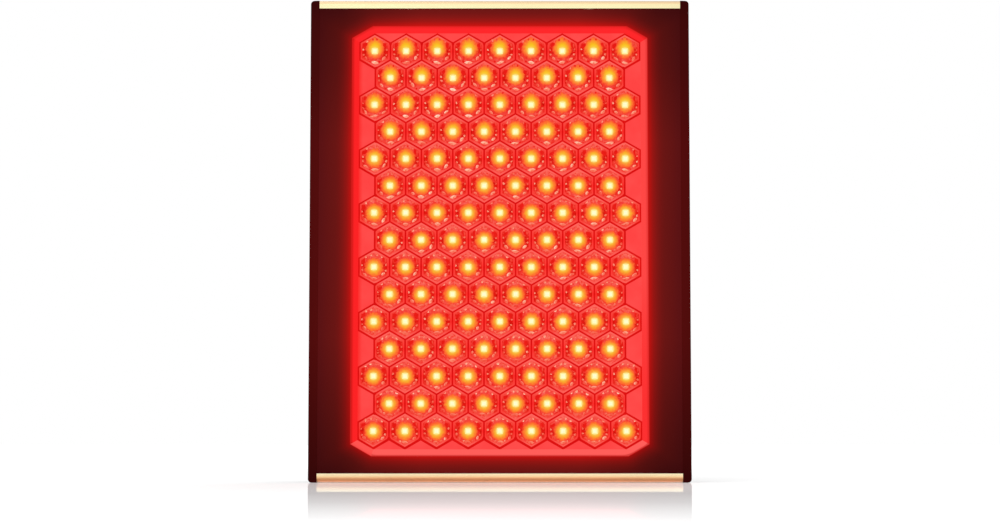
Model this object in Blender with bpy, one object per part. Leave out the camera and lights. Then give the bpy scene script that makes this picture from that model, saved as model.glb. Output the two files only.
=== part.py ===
"""Red light therapy panel: a slab of hexagonal lenses between two side rails, with fans, supply and controls behind.

Metres, +Z up. The origin is the middle of the base, the lit front faces -Y and +X is to the viewer's right.
"""

import math

import bmesh
import bpy
from mathutils import Matrix, Vector
from mathutils.geometry import interpolate_bezier

# Lens field: every outer size follows from the lenses
LENS_PITCH = 0.0200
LENS_COLUMNS = 9
LENS_ROWS = 15
LENS_GROOVE = 0.0008
LENS_RIM = 0.0009
LENS_RISE = 0.0012
LENS_CUP_DEPTH = 0.0026
LENS_CUP_FLOOR_RADIUS = 0.0074
LENS_DOME_RADIUS = 0.0052
LENS_CROWN_RADIUS = 0.0034
LENS_CROWN_DROP = 0.0003
LENS_SHEET_THICKNESS = 0.0045

# Outer casing
BEZEL_WIDTH = 0.0045
SIDE_MARGIN = 0.0210
END_MARGIN = 0.0107
RAIL_WIDTH = 0.0055
RAIL_ROUND = 0.0015
RAIL_FLANGE_REACH = 0.0085
RAIL_FLANGE_THICKNESS = 0.0030
PANEL_DEPTH = 0.0600
FACE_THICKNESS = 0.0025
TRIM_HEIGHT = 0.0051
TRIM_DEPTH = 0.0120
TRIM_ROUND = 0.0034
TRIM_ROUND_STEPS = 5
END_PLATE_THICKNESS = 0.0030
COVER_THICKNESS = 0.0015
COVER_RECESS = 0.0060
FOOT_HEIGHT = 0.0020
FOOT_SIDE = 0.0140
FOOT_INSET = 0.0205

# Fits
SEAT_GAP = 0.0003
OVERRUN = 0.0020
WELD_OVERLAP = 0.0010

# Window bezel and seal
BEZEL_LIP = 0.0003
BEZEL_LAND = 0.0003
BEZEL_SETBACK = 0.0002
BASE_DEPTH = 0.0020
SEAL_WIDTH = 0.0070

# Light engine
LED_SIDE = 0.0033
LED_HEIGHT = 0.0010
BOARD_THICKNESS = 0.0016
THERMAL_SHEET_THICKNESS = 0.0005
SINK_BASE_THICKNESS = 0.0030
SINK_FIN_HEIGHT = 0.0080
SINK_FIN_THICKNESS = 0.0014
SINK_FIN_COUNT = 15
SINK_FIN_END_INSET = 0.0120

# Fans
FAN_SIDE = 0.0800
FAN_THICKNESS = 0.0150
FAN_BORE_RADIUS = 0.0375
FAN_SPACING = 0.1000
FAN_HUB_RADIUS = 0.0160
FAN_TIP_CLEARANCE = 0.0012
FAN_POST_RADIUS = 0.0025
FAN_POST_LENGTH = 0.0070
FAN_RUNNING_GAP = 0.0005
FAN_BASE_THICKNESS = 0.0022
FAN_STRUT_WIDTH = 0.0050
FAN_STRUT_INSET = 0.0004
FAN_BLADE_COUNT = 7
FAN_BLADE_CHORD = 0.0120
FAN_BLADE_THICKNESS = 0.0014
FAN_BLADE_PITCH_DEGREES = 32
GUARD_RADIUS = 0.0395
GUARD_THICKNESS = 0.0012
GUARD_SLOT_COUNT = 12
GUARD_SLOT_WIDTH = 0.0048
GUARD_HUB_RADIUS = 0.0135
GUARD_RIM_WIDTH = 0.0040

# Supply, above the control row
DRIVER_HEIGHT_ABOVE_BASE = 0.0800
DRIVER_SIZE_X = 0.1200
DRIVER_SIZE_Z = 0.0520
DRIVER_DEPTH = 0.0220
DRIVER_ROUND = 0.0015
DRIVER_BRACKET_THICKNESS = 0.0012
DRIVER_BRACKET_EAR = 0.0120
DRIVER_FAN_GAP = 0.0180

# Mains inlet
CONTROL_ROW_HEIGHT = 0.0360
INLET_CENTRE_X = -0.0720
INLET_FLANGE_X = 0.0310
INLET_FLANGE_Z = 0.0240
INLET_FLANGE_THICKNESS = 0.0020
INLET_BODY_X = 0.0272
INLET_BODY_Z = 0.0202
INLET_BODY_DEPTH = 0.0185
INLET_CAVITY_X = 0.0240
INLET_CAVITY_Z = 0.0165
INLET_CAVITY_DEPTH = 0.0160
INLET_CHAMFER = 0.0045
PIN_BLADE_X = 0.0020
PIN_BLADE_Z = 0.0040
PIN_LENGTH = 0.0120
PIN_SPREAD = 0.0140
PIN_EARTH_RISE = 0.0040

# Rocker switch
SWITCH_CENTRE_X = -0.0340
SWITCH_FLANGE_X = 0.0150
SWITCH_FLANGE_Z = 0.0210
SWITCH_FLANGE_THICKNESS = 0.0015
SWITCH_BODY_X = 0.0130
SWITCH_BODY_Z = 0.0190
SWITCH_BODY_DEPTH = 0.0150
SWITCH_CAVITY_DEPTH = 0.0080
SWITCH_WALL = 0.0010
ROCKER_SIDE_GAP = 0.0004
ROCKER_END_GAP = 0.0008
ROCKER_WING_RISE = 0.0030
ROCKER_VALLEY_RISE = 0.0018
ROCKER_KEEL = 0.0045
ROCKER_KEEL_SHARE = 1 / 3
ROCKER_TILT_DEGREES = 8
ROCKER_PIVOT_RISE = 0.0005

# Display and buttons
DISPLAY_CENTRE_X = 0.0340
DISPLAY_SIZE_X = 0.0340
DISPLAY_SIZE_Z = 0.0160
DISPLAY_RISE = 0.0110
DISPLAY_MODULE_INSET = 0.0010
DISPLAY_MODULE_DEPTH = 0.0080
CONTROL_BOARD_THICKNESS = 0.0016
CARRIER_WALL = 0.0016
CARRIER_BORDER = 0.0070
BUTTON_RADIUS = 0.0045
BUTTON_SPACING = 0.0160
BUTTON_DROP = 0.0100
BUTTON_PROUD = 0.0022
BUTTON_FLANGE_RADIUS = 0.0056
BUTTON_FLANGE_THICKNESS = 0.0015
BUTTON_TRAVEL = 0.0010
BUTTON_SLIDE_GAP = 0.0003
BUTTON_ROUND = 0.0006
TACT_SIDE = 0.0060

# Folding stand
STAND_HINGE_BELOW_TOP = 0.0440
STAND_BAR_ABOVE_BASE = 0.0640
STAND_LEG_WIDTH = 0.0070
STAND_THICKNESS = 0.0040
STAND_LEG_FROM_RAIL = 0.0120
STAND_BAR_HEIGHT = 0.0080
STAND_FOOT_HEIGHT = 0.0025
STAND_FOOT_LENGTH = 0.1300
STAND_HEEL = 0.0024
STAND_FROM_COVER = 0.0015
HINGE_PIN_RADIUS = 0.0010
HINGE_PIN_GAP = 0.0003
BRACKET_EAR_THICKNESS = 0.0030
BRACKET_BLOCK_HEIGHT = 0.0110
BRACKET_EAR_DROP = 0.0035
BRACKET_HEEL_GAP = 0.0015

# Leads inside the casing
LEAD_RADIUS = 0.0012
LEAD_POINTS = 14
LEAD_BEND = 0.0100
LEAD_TERMINAL_RISE = 0.0045
LED_LEAD_REACH = 0.0460
LED_LEAD_RETURN = 0.0140

# Cover holes
SCREW_HEAD_RADIUS = 0.0028
SCREW_HEAD_HEIGHT = 0.0016
SCREW_SHANK_RADIUS = 0.0014
SCREW_HOLE_GAP = 0.0003
SCREW_POINT_GAP = 0.0010
SCREW_HEIGHT_SHARES = (0.10, 0.50, 0.90)
KEYHOLE_SPACING = 0.1200
KEYHOLE_BELOW_TOP = 0.0230
KEYHOLE_HEAD_RADIUS = 0.0048
KEYHOLE_SLOT_WIDTH = 0.0046
KEYHOLE_SLOT_LENGTH = 0.0100
VENT_COUNT = 11
VENT_WIDTH = 0.0030
VENT_HEIGHT = 0.0160
VENT_PITCH = 0.0080
VENT_BELOW_TOP = 0.0340

# How finely round shapes are cut
ROUND_SIDES = 32
SMALL_ROUND_SIDES = 16
DOME_SIDES = 12
SCREW_SIDES = 10
ROUND_PROFILE_SHARE = 0.5
SMOOTH_ANGLE = math.radians(40)
HEX_SLOPE = math.radians(30)

# Places that follow from the sizes above
LENS_ROW_STEP = LENS_PITCH * math.sqrt(3) / 2
LENS_CORNER_RADIUS = LENS_PITCH / math.sqrt(3)
FIELD_X = LENS_COLUMNS * LENS_PITCH
FIELD_Z = (LENS_ROWS - 1) * LENS_ROW_STEP + 2 * LENS_CORNER_RADIUS
WINDOW_X = FIELD_X + 2 * BEZEL_WIDTH
WINDOW_Z = FIELD_Z + 2 * BEZEL_WIDTH
PANEL_WIDTH = WINDOW_X + 2 * (SIDE_MARGIN + RAIL_WIDTH)
PANEL_HEIGHT = WINDOW_Z + 2 * (END_MARGIN + TRIM_HEIGHT + 2 * SEAT_GAP)
MIDDLE_Z = PANEL_HEIGHT / 2
FRONT_Y = -PANEL_DEPTH / 2
REAR_Y = PANEL_DEPTH / 2
RAIL_INNER_X = PANEL_WIDTH / 2 - RAIL_WIDTH
CLEAR_X = RAIL_INNER_X - SEAT_GAP
FACE_BACK_Y = FRONT_Y + FACE_THICKNESS
BASE_Y = FRONT_Y + BASE_DEPTH
SHEET_BACK_Y = BASE_Y + LENS_SHEET_THICKNESS
LED_TOP_Y = SHEET_BACK_Y + SEAT_GAP
BOARD_Y = LED_TOP_Y + LED_HEIGHT
BOARD_BACK_Y = BOARD_Y + BOARD_THICKNESS
THERMAL_Y = BOARD_BACK_Y + SEAT_GAP
SINK_Y = THERMAL_Y + THERMAL_SHEET_THICKNESS + SEAT_GAP
COVER_Y = REAR_Y - COVER_RECESS
COVER_INNER_Y = COVER_Y - COVER_THICKNESS
INSIDE_Y = COVER_INNER_Y - SEAT_GAP
ON_COVER_Y = COVER_Y + SEAT_GAP
TRIM_TOP_Z = SEAT_GAP + TRIM_HEIGHT
FLOOR_PLATE_Z = FOOT_HEIGHT + SEAT_GAP
COVER_LOW_Z = FLOOR_PLATE_Z + END_PLATE_THICKNESS + SEAT_GAP
ROOF_PLATE_Z = PANEL_HEIGHT - SEAT_GAP - END_PLATE_THICKNESS
COVER_HIGH_Z = ROOF_PLATE_Z - SEAT_GAP
FAN_Z = DRIVER_HEIGHT_ABOVE_BASE + DRIVER_SIZE_Z + DRIVER_FAN_GAP + FAN_SIDE / 2
HINGE_Y = COVER_Y + STAND_FROM_COVER + STAND_THICKNESS / 2
HINGE_Z = PANEL_HEIGHT - STAND_HINGE_BELOW_TOP
LEG_X = RAIL_INNER_X - STAND_LEG_FROM_RAIL - STAND_LEG_WIDTH / 2
DISPLAY_Z = CONTROL_ROW_HEIGHT + DISPLAY_RISE
BUTTON_Z = CONTROL_ROW_HEIGHT - BUTTON_DROP

ALONG_Y = Matrix.Rotation(math.radians(-90), 4, "X")
ALONG_X = Matrix.Rotation(math.radians(90), 4, "Y")


def clear_scene():
    for obj in list(bpy.data.objects):
        bpy.data.objects.remove(obj, do_unlink=True)


def make_collection(name):
    collection = bpy.data.collections.new(name)
    bpy.context.scene.collection.children.link(collection)
    return collection


def make_material(name, colour, roughness, metallic):
    material = bpy.data.materials.new(name)
    material.use_nodes = True
    shader = material.node_tree.nodes["Principled BSDF"]
    shader.inputs["Base Color"].default_value = (*colour, 1)
    shader.inputs["Roughness"].default_value = roughness
    shader.inputs["Metallic"].default_value = metallic
    return material


def add_block(bm, low, high):
    low, high = Vector(low), Vector(high)
    size = (high - low).to_4d()
    size.w = 1
    matrix = Matrix.Translation((low + high) / 2) @ Matrix.Diagonal(size)
    return bmesh.ops.create_cube(bm, size=1, matrix=matrix)["verts"]


def add_drum(bm, x, z, radius, low_y, high_y, sides=ROUND_SIDES, far_radius=None):
    """A drum along Y; far_radius is its radius at high_y, where it isn't the same."""
    matrix = Matrix.Translation((x, (low_y + high_y) / 2, z)) @ ALONG_Y
    bmesh.ops.create_cone(
        bm,
        cap_ends=True,
        segments=sides,
        radius1=radius,
        radius2=radius if far_radius is None else far_radius,
        depth=high_y - low_y,
        matrix=matrix,
    )


def add_prism(bm, sections):
    """A solid along Y through sections of (y, outline), where an outline is a list of (x, z) points."""
    rings = [[bm.verts.new((x, y, z)) for x, z in outline] for y, outline in sections]
    for near, far in zip(rings, rings[1:]):
        for index in range(len(near)):
            bm.faces.new((near[index - 1], near[index], far[index], far[index - 1]))
    bm.faces.new(rings[0])
    bm.faces.new(rings[-1])
    bmesh.ops.recalc_face_normals(bm, faces=bm.faces[:])


def round_edges(bm, chosen, radius, segments=2):
    edges = [edge for edge in bm.edges if all(chosen(vert.co) for vert in edge.verts)]
    bmesh.ops.bevel(
        bm, geom=edges, offset=radius, segments=segments, profile=ROUND_PROFILE_SHARE, affect="EDGES"
    )


def finish_mesh(name, bm, origin, smooth):
    bmesh.ops.translate(bm, verts=bm.verts, vec=-origin)
    mesh = bpy.data.meshes.new(name)
    bm.to_mesh(mesh)
    bm.free()
    if smooth:
        mesh.shade_smooth()
        mesh.set_sharp_from_angle(angle=SMOOTH_ANGLE)
    return mesh


class Workshop:
    """The collections, the materials, and the ways that a piece or a cutter joins the scene."""

    def __init__(self):
        self.parts = make_collection("red_light_panel")
        self.tools = make_collection("cutters")
        self.black = make_material("black_anodised", (0.012, 0.010, 0.010), 0.45, 0.6)
        self.face = make_material("dark_face", (0.030, 0.006, 0.006), 0.50, 0.2)
        self.gold = make_material("champagne_anodised", (0.85, 0.62, 0.33), 0.28, 1.0)
        self.lens = make_material("lens_acrylic", (0.95, 0.10, 0.08), 0.15, 0.0)
        self.white = make_material("white_reflector", (0.90, 0.20, 0.18), 0.40, 0.0)
        self.rubber = make_material("black_rubber", (0.015, 0.015, 0.016), 0.85, 0.0)
        self.board = make_material("white_solder_mask", (0.80, 0.80, 0.78), 0.45, 0.0)
        self.pad = make_material("thermal_silicone", (0.35, 0.36, 0.38), 0.80, 0.0)
        self.bare = make_material("bare_aluminium", (0.62, 0.63, 0.65), 0.35, 1.0)
        self.sheet = make_material("coated_steel", (0.020, 0.020, 0.022), 0.55, 0.3)
        self.plastic = make_material("black_plastic", (0.020, 0.020, 0.021), 0.50, 0.0)
        self.green = make_material("green_board", (0.03, 0.16, 0.06), 0.45, 0.0)
        self.glass = make_material("smoked_window", (0.010, 0.010, 0.012), 0.08, 0.0)
        self.steel = make_material("plated_steel", (0.60, 0.60, 0.60), 0.30, 1.0)

    def piece(self, name, bm, material, origin=(0, 0, 0), smooth=False):
        origin = Vector(origin)
        obj = bpy.data.objects.new(name, finish_mesh(name, bm, origin, smooth))
        obj.location = origin
        obj.data.materials.append(material)
        self.parts.objects.link(obj)
        return obj

    def tool(self, name, bm, origin=(0, 0, 0)):
        origin = Vector(origin)
        obj = bpy.data.objects.new(name, finish_mesh(name, bm, origin, False))
        obj.location = origin
        obj.hide_render = True
        obj.display_type = "WIRE"
        self.tools.objects.link(obj)
        return obj

    def apply_tool(self, target, bm, operation):
        helper = self.tool(f"{target.name}_{operation.lower()}_{len(target.modifiers)}", bm)
        modifier = target.modifiers.new(helper.name, "BOOLEAN")
        modifier.operation = operation
        modifier.object = helper

    def cut(self, target, bm):
        self.apply_tool(target, bm, "DIFFERENCE")

    def join(self, target, bm):
        self.apply_tool(target, bm, "UNION")

    def empty(self, name, place):
        obj = bpy.data.objects.new(name, None)
        obj.location = place
        self.parts.objects.link(obj)
        return obj


def hang_on(child, carrier):
    child.parent = carrier
    child.matrix_parent_inverse = Matrix.Translation(-carrier.location)


def window_outline(grow):
    """The window's outline, grown outwards from the lens field: its corners follow the corner lenses' edges."""
    half_x = FIELD_X / 2 + grow
    half_z = FIELD_Z / 2 + grow
    slope = math.tan(HEX_SLOPE)
    # The slanted side lies on the corner lens's upper edge, moved outwards by grow.
    edge_rise = FIELD_Z / 2 - LENS_CORNER_RADIUS / 2 + grow / math.cos(HEX_SLOPE)
    side_z = edge_rise - slope * (half_x - FIELD_X / 2)
    top_x = FIELD_X / 2 - (half_z - edge_rise) / slope
    corners = ((half_x, side_z), (top_x, half_z))
    right_up = list(corners)
    left_up = [(-x, z) for x, z in reversed(corners)]
    left_down = [(-x, -z) for x, z in corners]
    right_down = [(x, -z) for x, z in reversed(corners)]
    points = right_up + left_up + left_down + right_down
    return [(x, MIDDLE_Z + z) for x, z in points]


def lens_centres():
    for row in range(LENS_ROWS):
        count = LENS_COLUMNS - row % 2
        z = MIDDLE_Z + (row - (LENS_ROWS - 1) / 2) * LENS_ROW_STEP
        for column in range(count):
            yield (column - (count - 1) / 2) * LENS_PITCH, z


def build_rails(shop):
    low_z = TRIM_TOP_Z + SEAT_GAP
    high_z = PANEL_HEIGHT - low_z
    flange_front = FACE_BACK_Y + SEAT_GAP
    flange_rear = INSIDE_Y - RAIL_FLANGE_THICKNESS
    for side, name in ((-1, "side_rail_left"), (1, "side_rail_right")):
        outer = side * PANEL_WIDTH / 2
        inner = side * RAIL_INNER_X
        tip = inner - side * RAIL_FLANGE_REACH
        root = inner + side * WELD_OVERLAP
        bm = bmesh.new()
        add_block(bm, (min(inner, outer), FRONT_Y, 0), (max(inner, outer), REAR_Y, PANEL_HEIGHT))
        round_edges(bm, lambda co, far=outer: math.isclose(co.x, far, abs_tol=SEAT_GAP), RAIL_ROUND, 3)
        rail = shop.piece(name, bm, shop.black, smooth=True)
        flanges = bmesh.new()
        for y in (flange_front, flange_rear):
            low = (min(tip, root), y, low_z)
            add_block(flanges, low, (max(tip, root), y + RAIL_FLANGE_THICKNESS, high_z))
        shop.join(rail, flanges)
        holes = bmesh.new()
        for x, z in screw_places():
            if x * side > 0:
                radius = SCREW_SHANK_RADIUS + SCREW_HOLE_GAP
                add_drum(holes, x, z, radius, flange_rear - OVERRUN, COVER_INNER_Y, SCREW_SIDES)
        shop.cut(rail, holes)


def build_trims(shop):
    top_z = PANEL_HEIGHT - SEAT_GAP
    for name, end_z, inner_z in (
        ("trim_strip_bottom", SEAT_GAP, TRIM_TOP_Z),
        ("trim_strip_top", top_z, top_z - TRIM_HEIGHT),
    ):
        bm = bmesh.new()
        low = (-CLEAR_X, FRONT_Y, min(end_z, inner_z))
        add_block(bm, low, (CLEAR_X, FRONT_Y + TRIM_DEPTH, max(end_z, inner_z)))

        def on_end_edge(co, end=end_z):
            return co.y < FRONT_Y + SEAT_GAP and math.isclose(co.z, end, abs_tol=SEAT_GAP)

        round_edges(bm, on_end_edge, TRIM_ROUND, TRIM_ROUND_STEPS)
        shop.piece(name, bm, shop.gold, smooth=True)


def build_end_plates(shop):
    front = FRONT_Y + TRIM_DEPTH + SEAT_GAP
    for name, low_z in (("bottom_plate", FLOOR_PLATE_Z), ("top_plate", ROOF_PLATE_Z)):
        bm = bmesh.new()
        add_block(bm, (-CLEAR_X, front, low_z), (CLEAR_X, REAR_Y, low_z + END_PLATE_THICKNESS))
        shop.piece(name, bm, shop.black)


def build_feet(shop):
    half = FOOT_SIDE / 2
    front_y = FRONT_Y + TRIM_DEPTH + SEAT_GAP + half
    rear_y = REAR_Y - half - SEAT_GAP
    for side, across in ((-1, "left"), (1, "right")):
        for y, along in ((front_y, "front"), (rear_y, "rear")):
            x = side * (RAIL_INNER_X - FOOT_INSET)
            bm = bmesh.new()
            add_block(bm, (x - half, y - half, 0), (x + half, y + half, FOOT_HEIGHT))
            shop.piece(f"foot_pad_{along}_{across}", bm, shop.rubber)


def build_front_frame(shop):
    low_z = TRIM_TOP_Z + SEAT_GAP
    bm = bmesh.new()
    add_block(bm, (-CLEAR_X, FRONT_Y, low_z), (CLEAR_X, FACE_BACK_Y, PANEL_HEIGHT - low_z))
    frame = shop.piece("front_frame", bm, shop.face)
    opening = bmesh.new()
    outline = window_outline(BEZEL_WIDTH)
    add_prism(opening, [(FRONT_Y - OVERRUN, outline), (FACE_BACK_Y + OVERRUN, outline)])
    shop.cut(frame, opening)


def build_window_bezel(shop):
    outer = window_outline(BEZEL_WIDTH - SEAT_GAP)
    mouth = window_outline(BEZEL_WIDTH - SEAT_GAP - BEZEL_LAND)
    inner = window_outline(0)
    front = FRONT_Y + BEZEL_SETBACK
    back = BASE_Y - SEAT_GAP
    lip = back - BEZEL_LIP
    bm = bmesh.new()
    add_prism(bm, [(front, outer), (back, outer)])
    bezel = shop.piece("window_bezel", bm, shop.white)
    opening = bmesh.new()
    add_prism(opening, [(front - OVERRUN, mouth), (front, mouth), (lip, inner), (back + OVERRUN, inner)])
    shop.cut(bezel, opening)


def build_lens_array(shop):
    outline = window_outline(BEZEL_WIDTH - SEAT_GAP)
    rim_y = BASE_Y - LENS_RISE
    floor_y = rim_y + LENS_CUP_DEPTH
    groove_share = 1 - LENS_GROOVE / LENS_PITCH
    block_radius = LENS_CORNER_RADIUS * groove_share
    cup_radius = block_radius - 2 * LENS_RIM
    flare = (cup_radius - LENS_CUP_FLOOR_RADIUS) / LENS_CUP_DEPTH
    mouth_y = rim_y - OVERRUN
    crown_y = rim_y + LENS_CROWN_DROP
    dome_root = floor_y + WELD_OVERLAP
    bm = bmesh.new()
    add_prism(bm, [(BASE_Y, outline), (SHEET_BACK_Y, outline)])
    array = shop.piece("lens_array", bm, shop.lens)
    blocks = bmesh.new()
    cups = bmesh.new()
    domes = bmesh.new()
    for x, z in lens_centres():
        add_drum(blocks, x, z, block_radius, rim_y, BASE_Y + WELD_OVERLAP, 6)
        add_drum(cups, x, z, cup_radius + flare * OVERRUN, mouth_y, floor_y, 6, LENS_CUP_FLOOR_RADIUS)
        add_drum(domes, x, z, LENS_CROWN_RADIUS, crown_y, dome_root, DOME_SIDES, LENS_DOME_RADIUS)
    shop.join(array, blocks)
    shop.cut(array, cups)
    shop.join(array, domes)


def build_seal(shop):
    inner = window_outline(BEZEL_WIDTH)
    outer = window_outline(BEZEL_WIDTH + SEAL_WIDTH)
    front = FACE_BACK_Y + SEAT_GAP
    back = BOARD_Y - SEAT_GAP
    bm = bmesh.new()
    add_prism(bm, [(front, outer), (back, outer)])
    seal = shop.piece("lens_seal", bm, shop.rubber)
    opening = bmesh.new()
    add_prism(opening, [(front - OVERRUN, inner), (back + OVERRUN, inner)])
    shop.cut(seal, opening)


def board_corner():
    return FIELD_X / 2 + BEZEL_WIDTH + SEAL_WIDTH, FIELD_Z / 2 + BEZEL_WIDTH + SEAL_WIDTH


def build_led_board(shop):
    half_x, half_z = board_corner()
    half = LED_SIDE / 2
    bm = bmesh.new()
    add_block(bm, (-half_x, BOARD_Y, MIDDLE_Z - half_z), (half_x, BOARD_BACK_Y, MIDDLE_Z + half_z))
    board = shop.piece("led_board", bm, shop.board)
    leds = bmesh.new()
    for x, z in lens_centres():
        add_block(leds, (x - half, LED_TOP_Y, z - half), (x + half, BOARD_Y + BOARD_THICKNESS / 2, z + half))
    shop.join(board, leds)


def build_thermal_sheet(shop):
    half_x, half_z = board_corner()
    back = THERMAL_Y + THERMAL_SHEET_THICKNESS
    bm = bmesh.new()
    add_block(bm, (-half_x, THERMAL_Y, MIDDLE_Z - half_z), (half_x, back, MIDDLE_Z + half_z))
    shop.piece("thermal_sheet", bm, shop.pad)


def build_heat_sink(shop):
    half_x, half_z = board_corner()
    fin_root = SINK_Y + SINK_BASE_THICKNESS
    fin_half_z = half_z - SINK_FIN_END_INSET
    span = 2 * half_x - SINK_FIN_THICKNESS - 2 * SEAT_GAP
    bm = bmesh.new()
    add_block(bm, (-half_x, SINK_Y, MIDDLE_Z - half_z), (half_x, fin_root, MIDDLE_Z + half_z))
    sink = shop.piece("heat_sink", bm, shop.bare)
    fins = bmesh.new()
    for index in range(SINK_FIN_COUNT):
        x = span * index / (SINK_FIN_COUNT - 1) - span / 2
        low = (x - SINK_FIN_THICKNESS / 2, fin_root - WELD_OVERLAP, MIDDLE_Z - fin_half_z)
        high = (x + SINK_FIN_THICKNESS / 2, fin_root + SINK_FIN_HEIGHT, MIDDLE_Z + fin_half_z)
        add_block(fins, low, high)
    shop.join(sink, fins)


def screw_places():
    x = RAIL_INNER_X - RAIL_FLANGE_REACH / 2
    for side in (-1, 1):
        for share in SCREW_HEIGHT_SHARES:
            yield side * x, COVER_LOW_Z + share * (COVER_HIGH_Z - COVER_LOW_Z)


def cover_openings():
    """Every hole in the rear cover, as one set of separate cutters."""
    front, back = COVER_INNER_Y - OVERRUN, COVER_Y + OVERRUN
    bm = bmesh.new()
    for side in (-1, 1):
        add_drum(bm, side * FAN_SPACING / 2, FAN_Z, FAN_BORE_RADIUS, front, back)
    for x, z in screw_places():
        add_drum(bm, x, z, SCREW_SHANK_RADIUS + SCREW_HOLE_GAP, front, back, SCREW_SIDES)
    for x in button_places():
        add_drum(bm, x, BUTTON_Z, BUTTON_RADIUS + BUTTON_SLIDE_GAP, front, back, SMALL_ROUND_SIDES)
    sockets = (
        (INLET_CENTRE_X, CONTROL_ROW_HEIGHT, INLET_BODY_X, INLET_BODY_Z),
        (SWITCH_CENTRE_X, CONTROL_ROW_HEIGHT, SWITCH_BODY_X, SWITCH_BODY_Z),
        (DISPLAY_CENTRE_X, DISPLAY_Z, DISPLAY_SIZE_X, DISPLAY_SIZE_Z),
    )
    for x, z, size_x, size_z in sockets:
        half_x, half_z = size_x / 2 + SEAT_GAP, size_z / 2 + SEAT_GAP
        add_block(bm, (x - half_x, front, z - half_z), (x + half_x, back, z + half_z))
    for index in range(VENT_COUNT):
        x = (index - (VENT_COUNT - 1) / 2) * VENT_PITCH
        high_z = PANEL_HEIGHT - VENT_BELOW_TOP
        low = (x - VENT_WIDTH / 2, front, high_z - VENT_HEIGHT)
        add_block(bm, low, (x + VENT_WIDTH / 2, back, high_z))
    return bm


def keyhole_outline(x, z):
    """A round entry with a narrow slot rising from it."""
    half = KEYHOLE_SLOT_WIDTH / 2
    start = math.pi / 2 - math.asin(half / KEYHOLE_HEAD_RADIUS)
    turn = 2 * math.pi - 2 * (math.pi / 2 - start)
    points = [(x + half, z + KEYHOLE_SLOT_LENGTH), (x - half, z + KEYHOLE_SLOT_LENGTH)]
    for step in range(SCREW_SIDES + 1):
        angle = math.pi - start + turn * step / SCREW_SIDES
        points.append((x + KEYHOLE_HEAD_RADIUS * math.cos(angle), z + KEYHOLE_HEAD_RADIUS * math.sin(angle)))
    return points


def build_rear_cover(shop):
    bm = bmesh.new()
    add_block(bm, (-CLEAR_X, COVER_INNER_Y, COVER_LOW_Z), (CLEAR_X, COVER_Y, COVER_HIGH_Z))
    cover = shop.piece("rear_cover", bm, shop.sheet)
    shop.cut(cover, cover_openings())
    for side in (-1, 1):
        outline = keyhole_outline(side * KEYHOLE_SPACING / 2, PANEL_HEIGHT - KEYHOLE_BELOW_TOP)
        keyhole = bmesh.new()
        add_prism(keyhole, [(COVER_INNER_Y - OVERRUN, outline), (COVER_Y + OVERRUN, outline)])
        shop.cut(cover, keyhole)


def build_cover_screws(shop):
    point_y = INSIDE_Y - RAIL_FLANGE_THICKNESS - SCREW_POINT_GAP
    for number, (x, z) in enumerate(screw_places(), 1):
        head_y = ON_COVER_Y + SCREW_HEAD_HEIGHT
        bm = bmesh.new()
        add_drum(bm, x, z, SCREW_HEAD_RADIUS, ON_COVER_Y, head_y, SCREW_SIDES)
        screw = shop.piece(f"cover_screw_{number}", bm, shop.steel, (x, head_y, z), smooth=True)
        shank = bmesh.new()
        add_drum(shank, x, z, SCREW_SHANK_RADIUS, point_y, ON_COVER_Y + SCREW_HEAD_HEIGHT / 2, SCREW_SIDES)
        shop.join(screw, shank)


def build_fan_frame(shop, name, x):
    half = FAN_SIDE / 2
    front = INSIDE_Y - FAN_THICKNESS
    strut_y = front + FAN_STRUT_INSET
    base_y = strut_y + FAN_BASE_THICKNESS
    reach = FAN_BORE_RADIUS + WELD_OVERLAP
    bm = bmesh.new()
    add_block(bm, (x - half, front, FAN_Z - half), (x + half, INSIDE_Y, FAN_Z + half))
    frame = shop.piece(name, bm, shop.plastic, (x, front, FAN_Z))
    bore = bmesh.new()
    add_drum(bore, x, FAN_Z, FAN_BORE_RADIUS, front - OVERRUN, INSIDE_Y + OVERRUN)
    shop.cut(frame, bore)
    across = bmesh.new()
    half_strut = FAN_STRUT_WIDTH / 2
    add_block(across, (x - reach, strut_y, FAN_Z - half_strut), (x + reach, base_y, FAN_Z + half_strut))
    shop.join(frame, across)
    upright = bmesh.new()
    add_block(upright, (x - half_strut, strut_y, FAN_Z - reach), (x + half_strut, base_y, FAN_Z + reach))
    shop.join(frame, upright)
    motor_seat = bmesh.new()
    seat_y = base_y + FAN_STRUT_INSET
    add_drum(motor_seat, x, FAN_Z, FAN_HUB_RADIUS, strut_y - FAN_STRUT_INSET / 2, seat_y, ROUND_SIDES)
    shop.join(frame, motor_seat)
    post = bmesh.new()
    add_drum(post, x, FAN_Z, FAN_POST_RADIUS, base_y, seat_y + FAN_POST_LENGTH, SMALL_ROUND_SIDES)
    shop.join(frame, post)
    return seat_y


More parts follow.
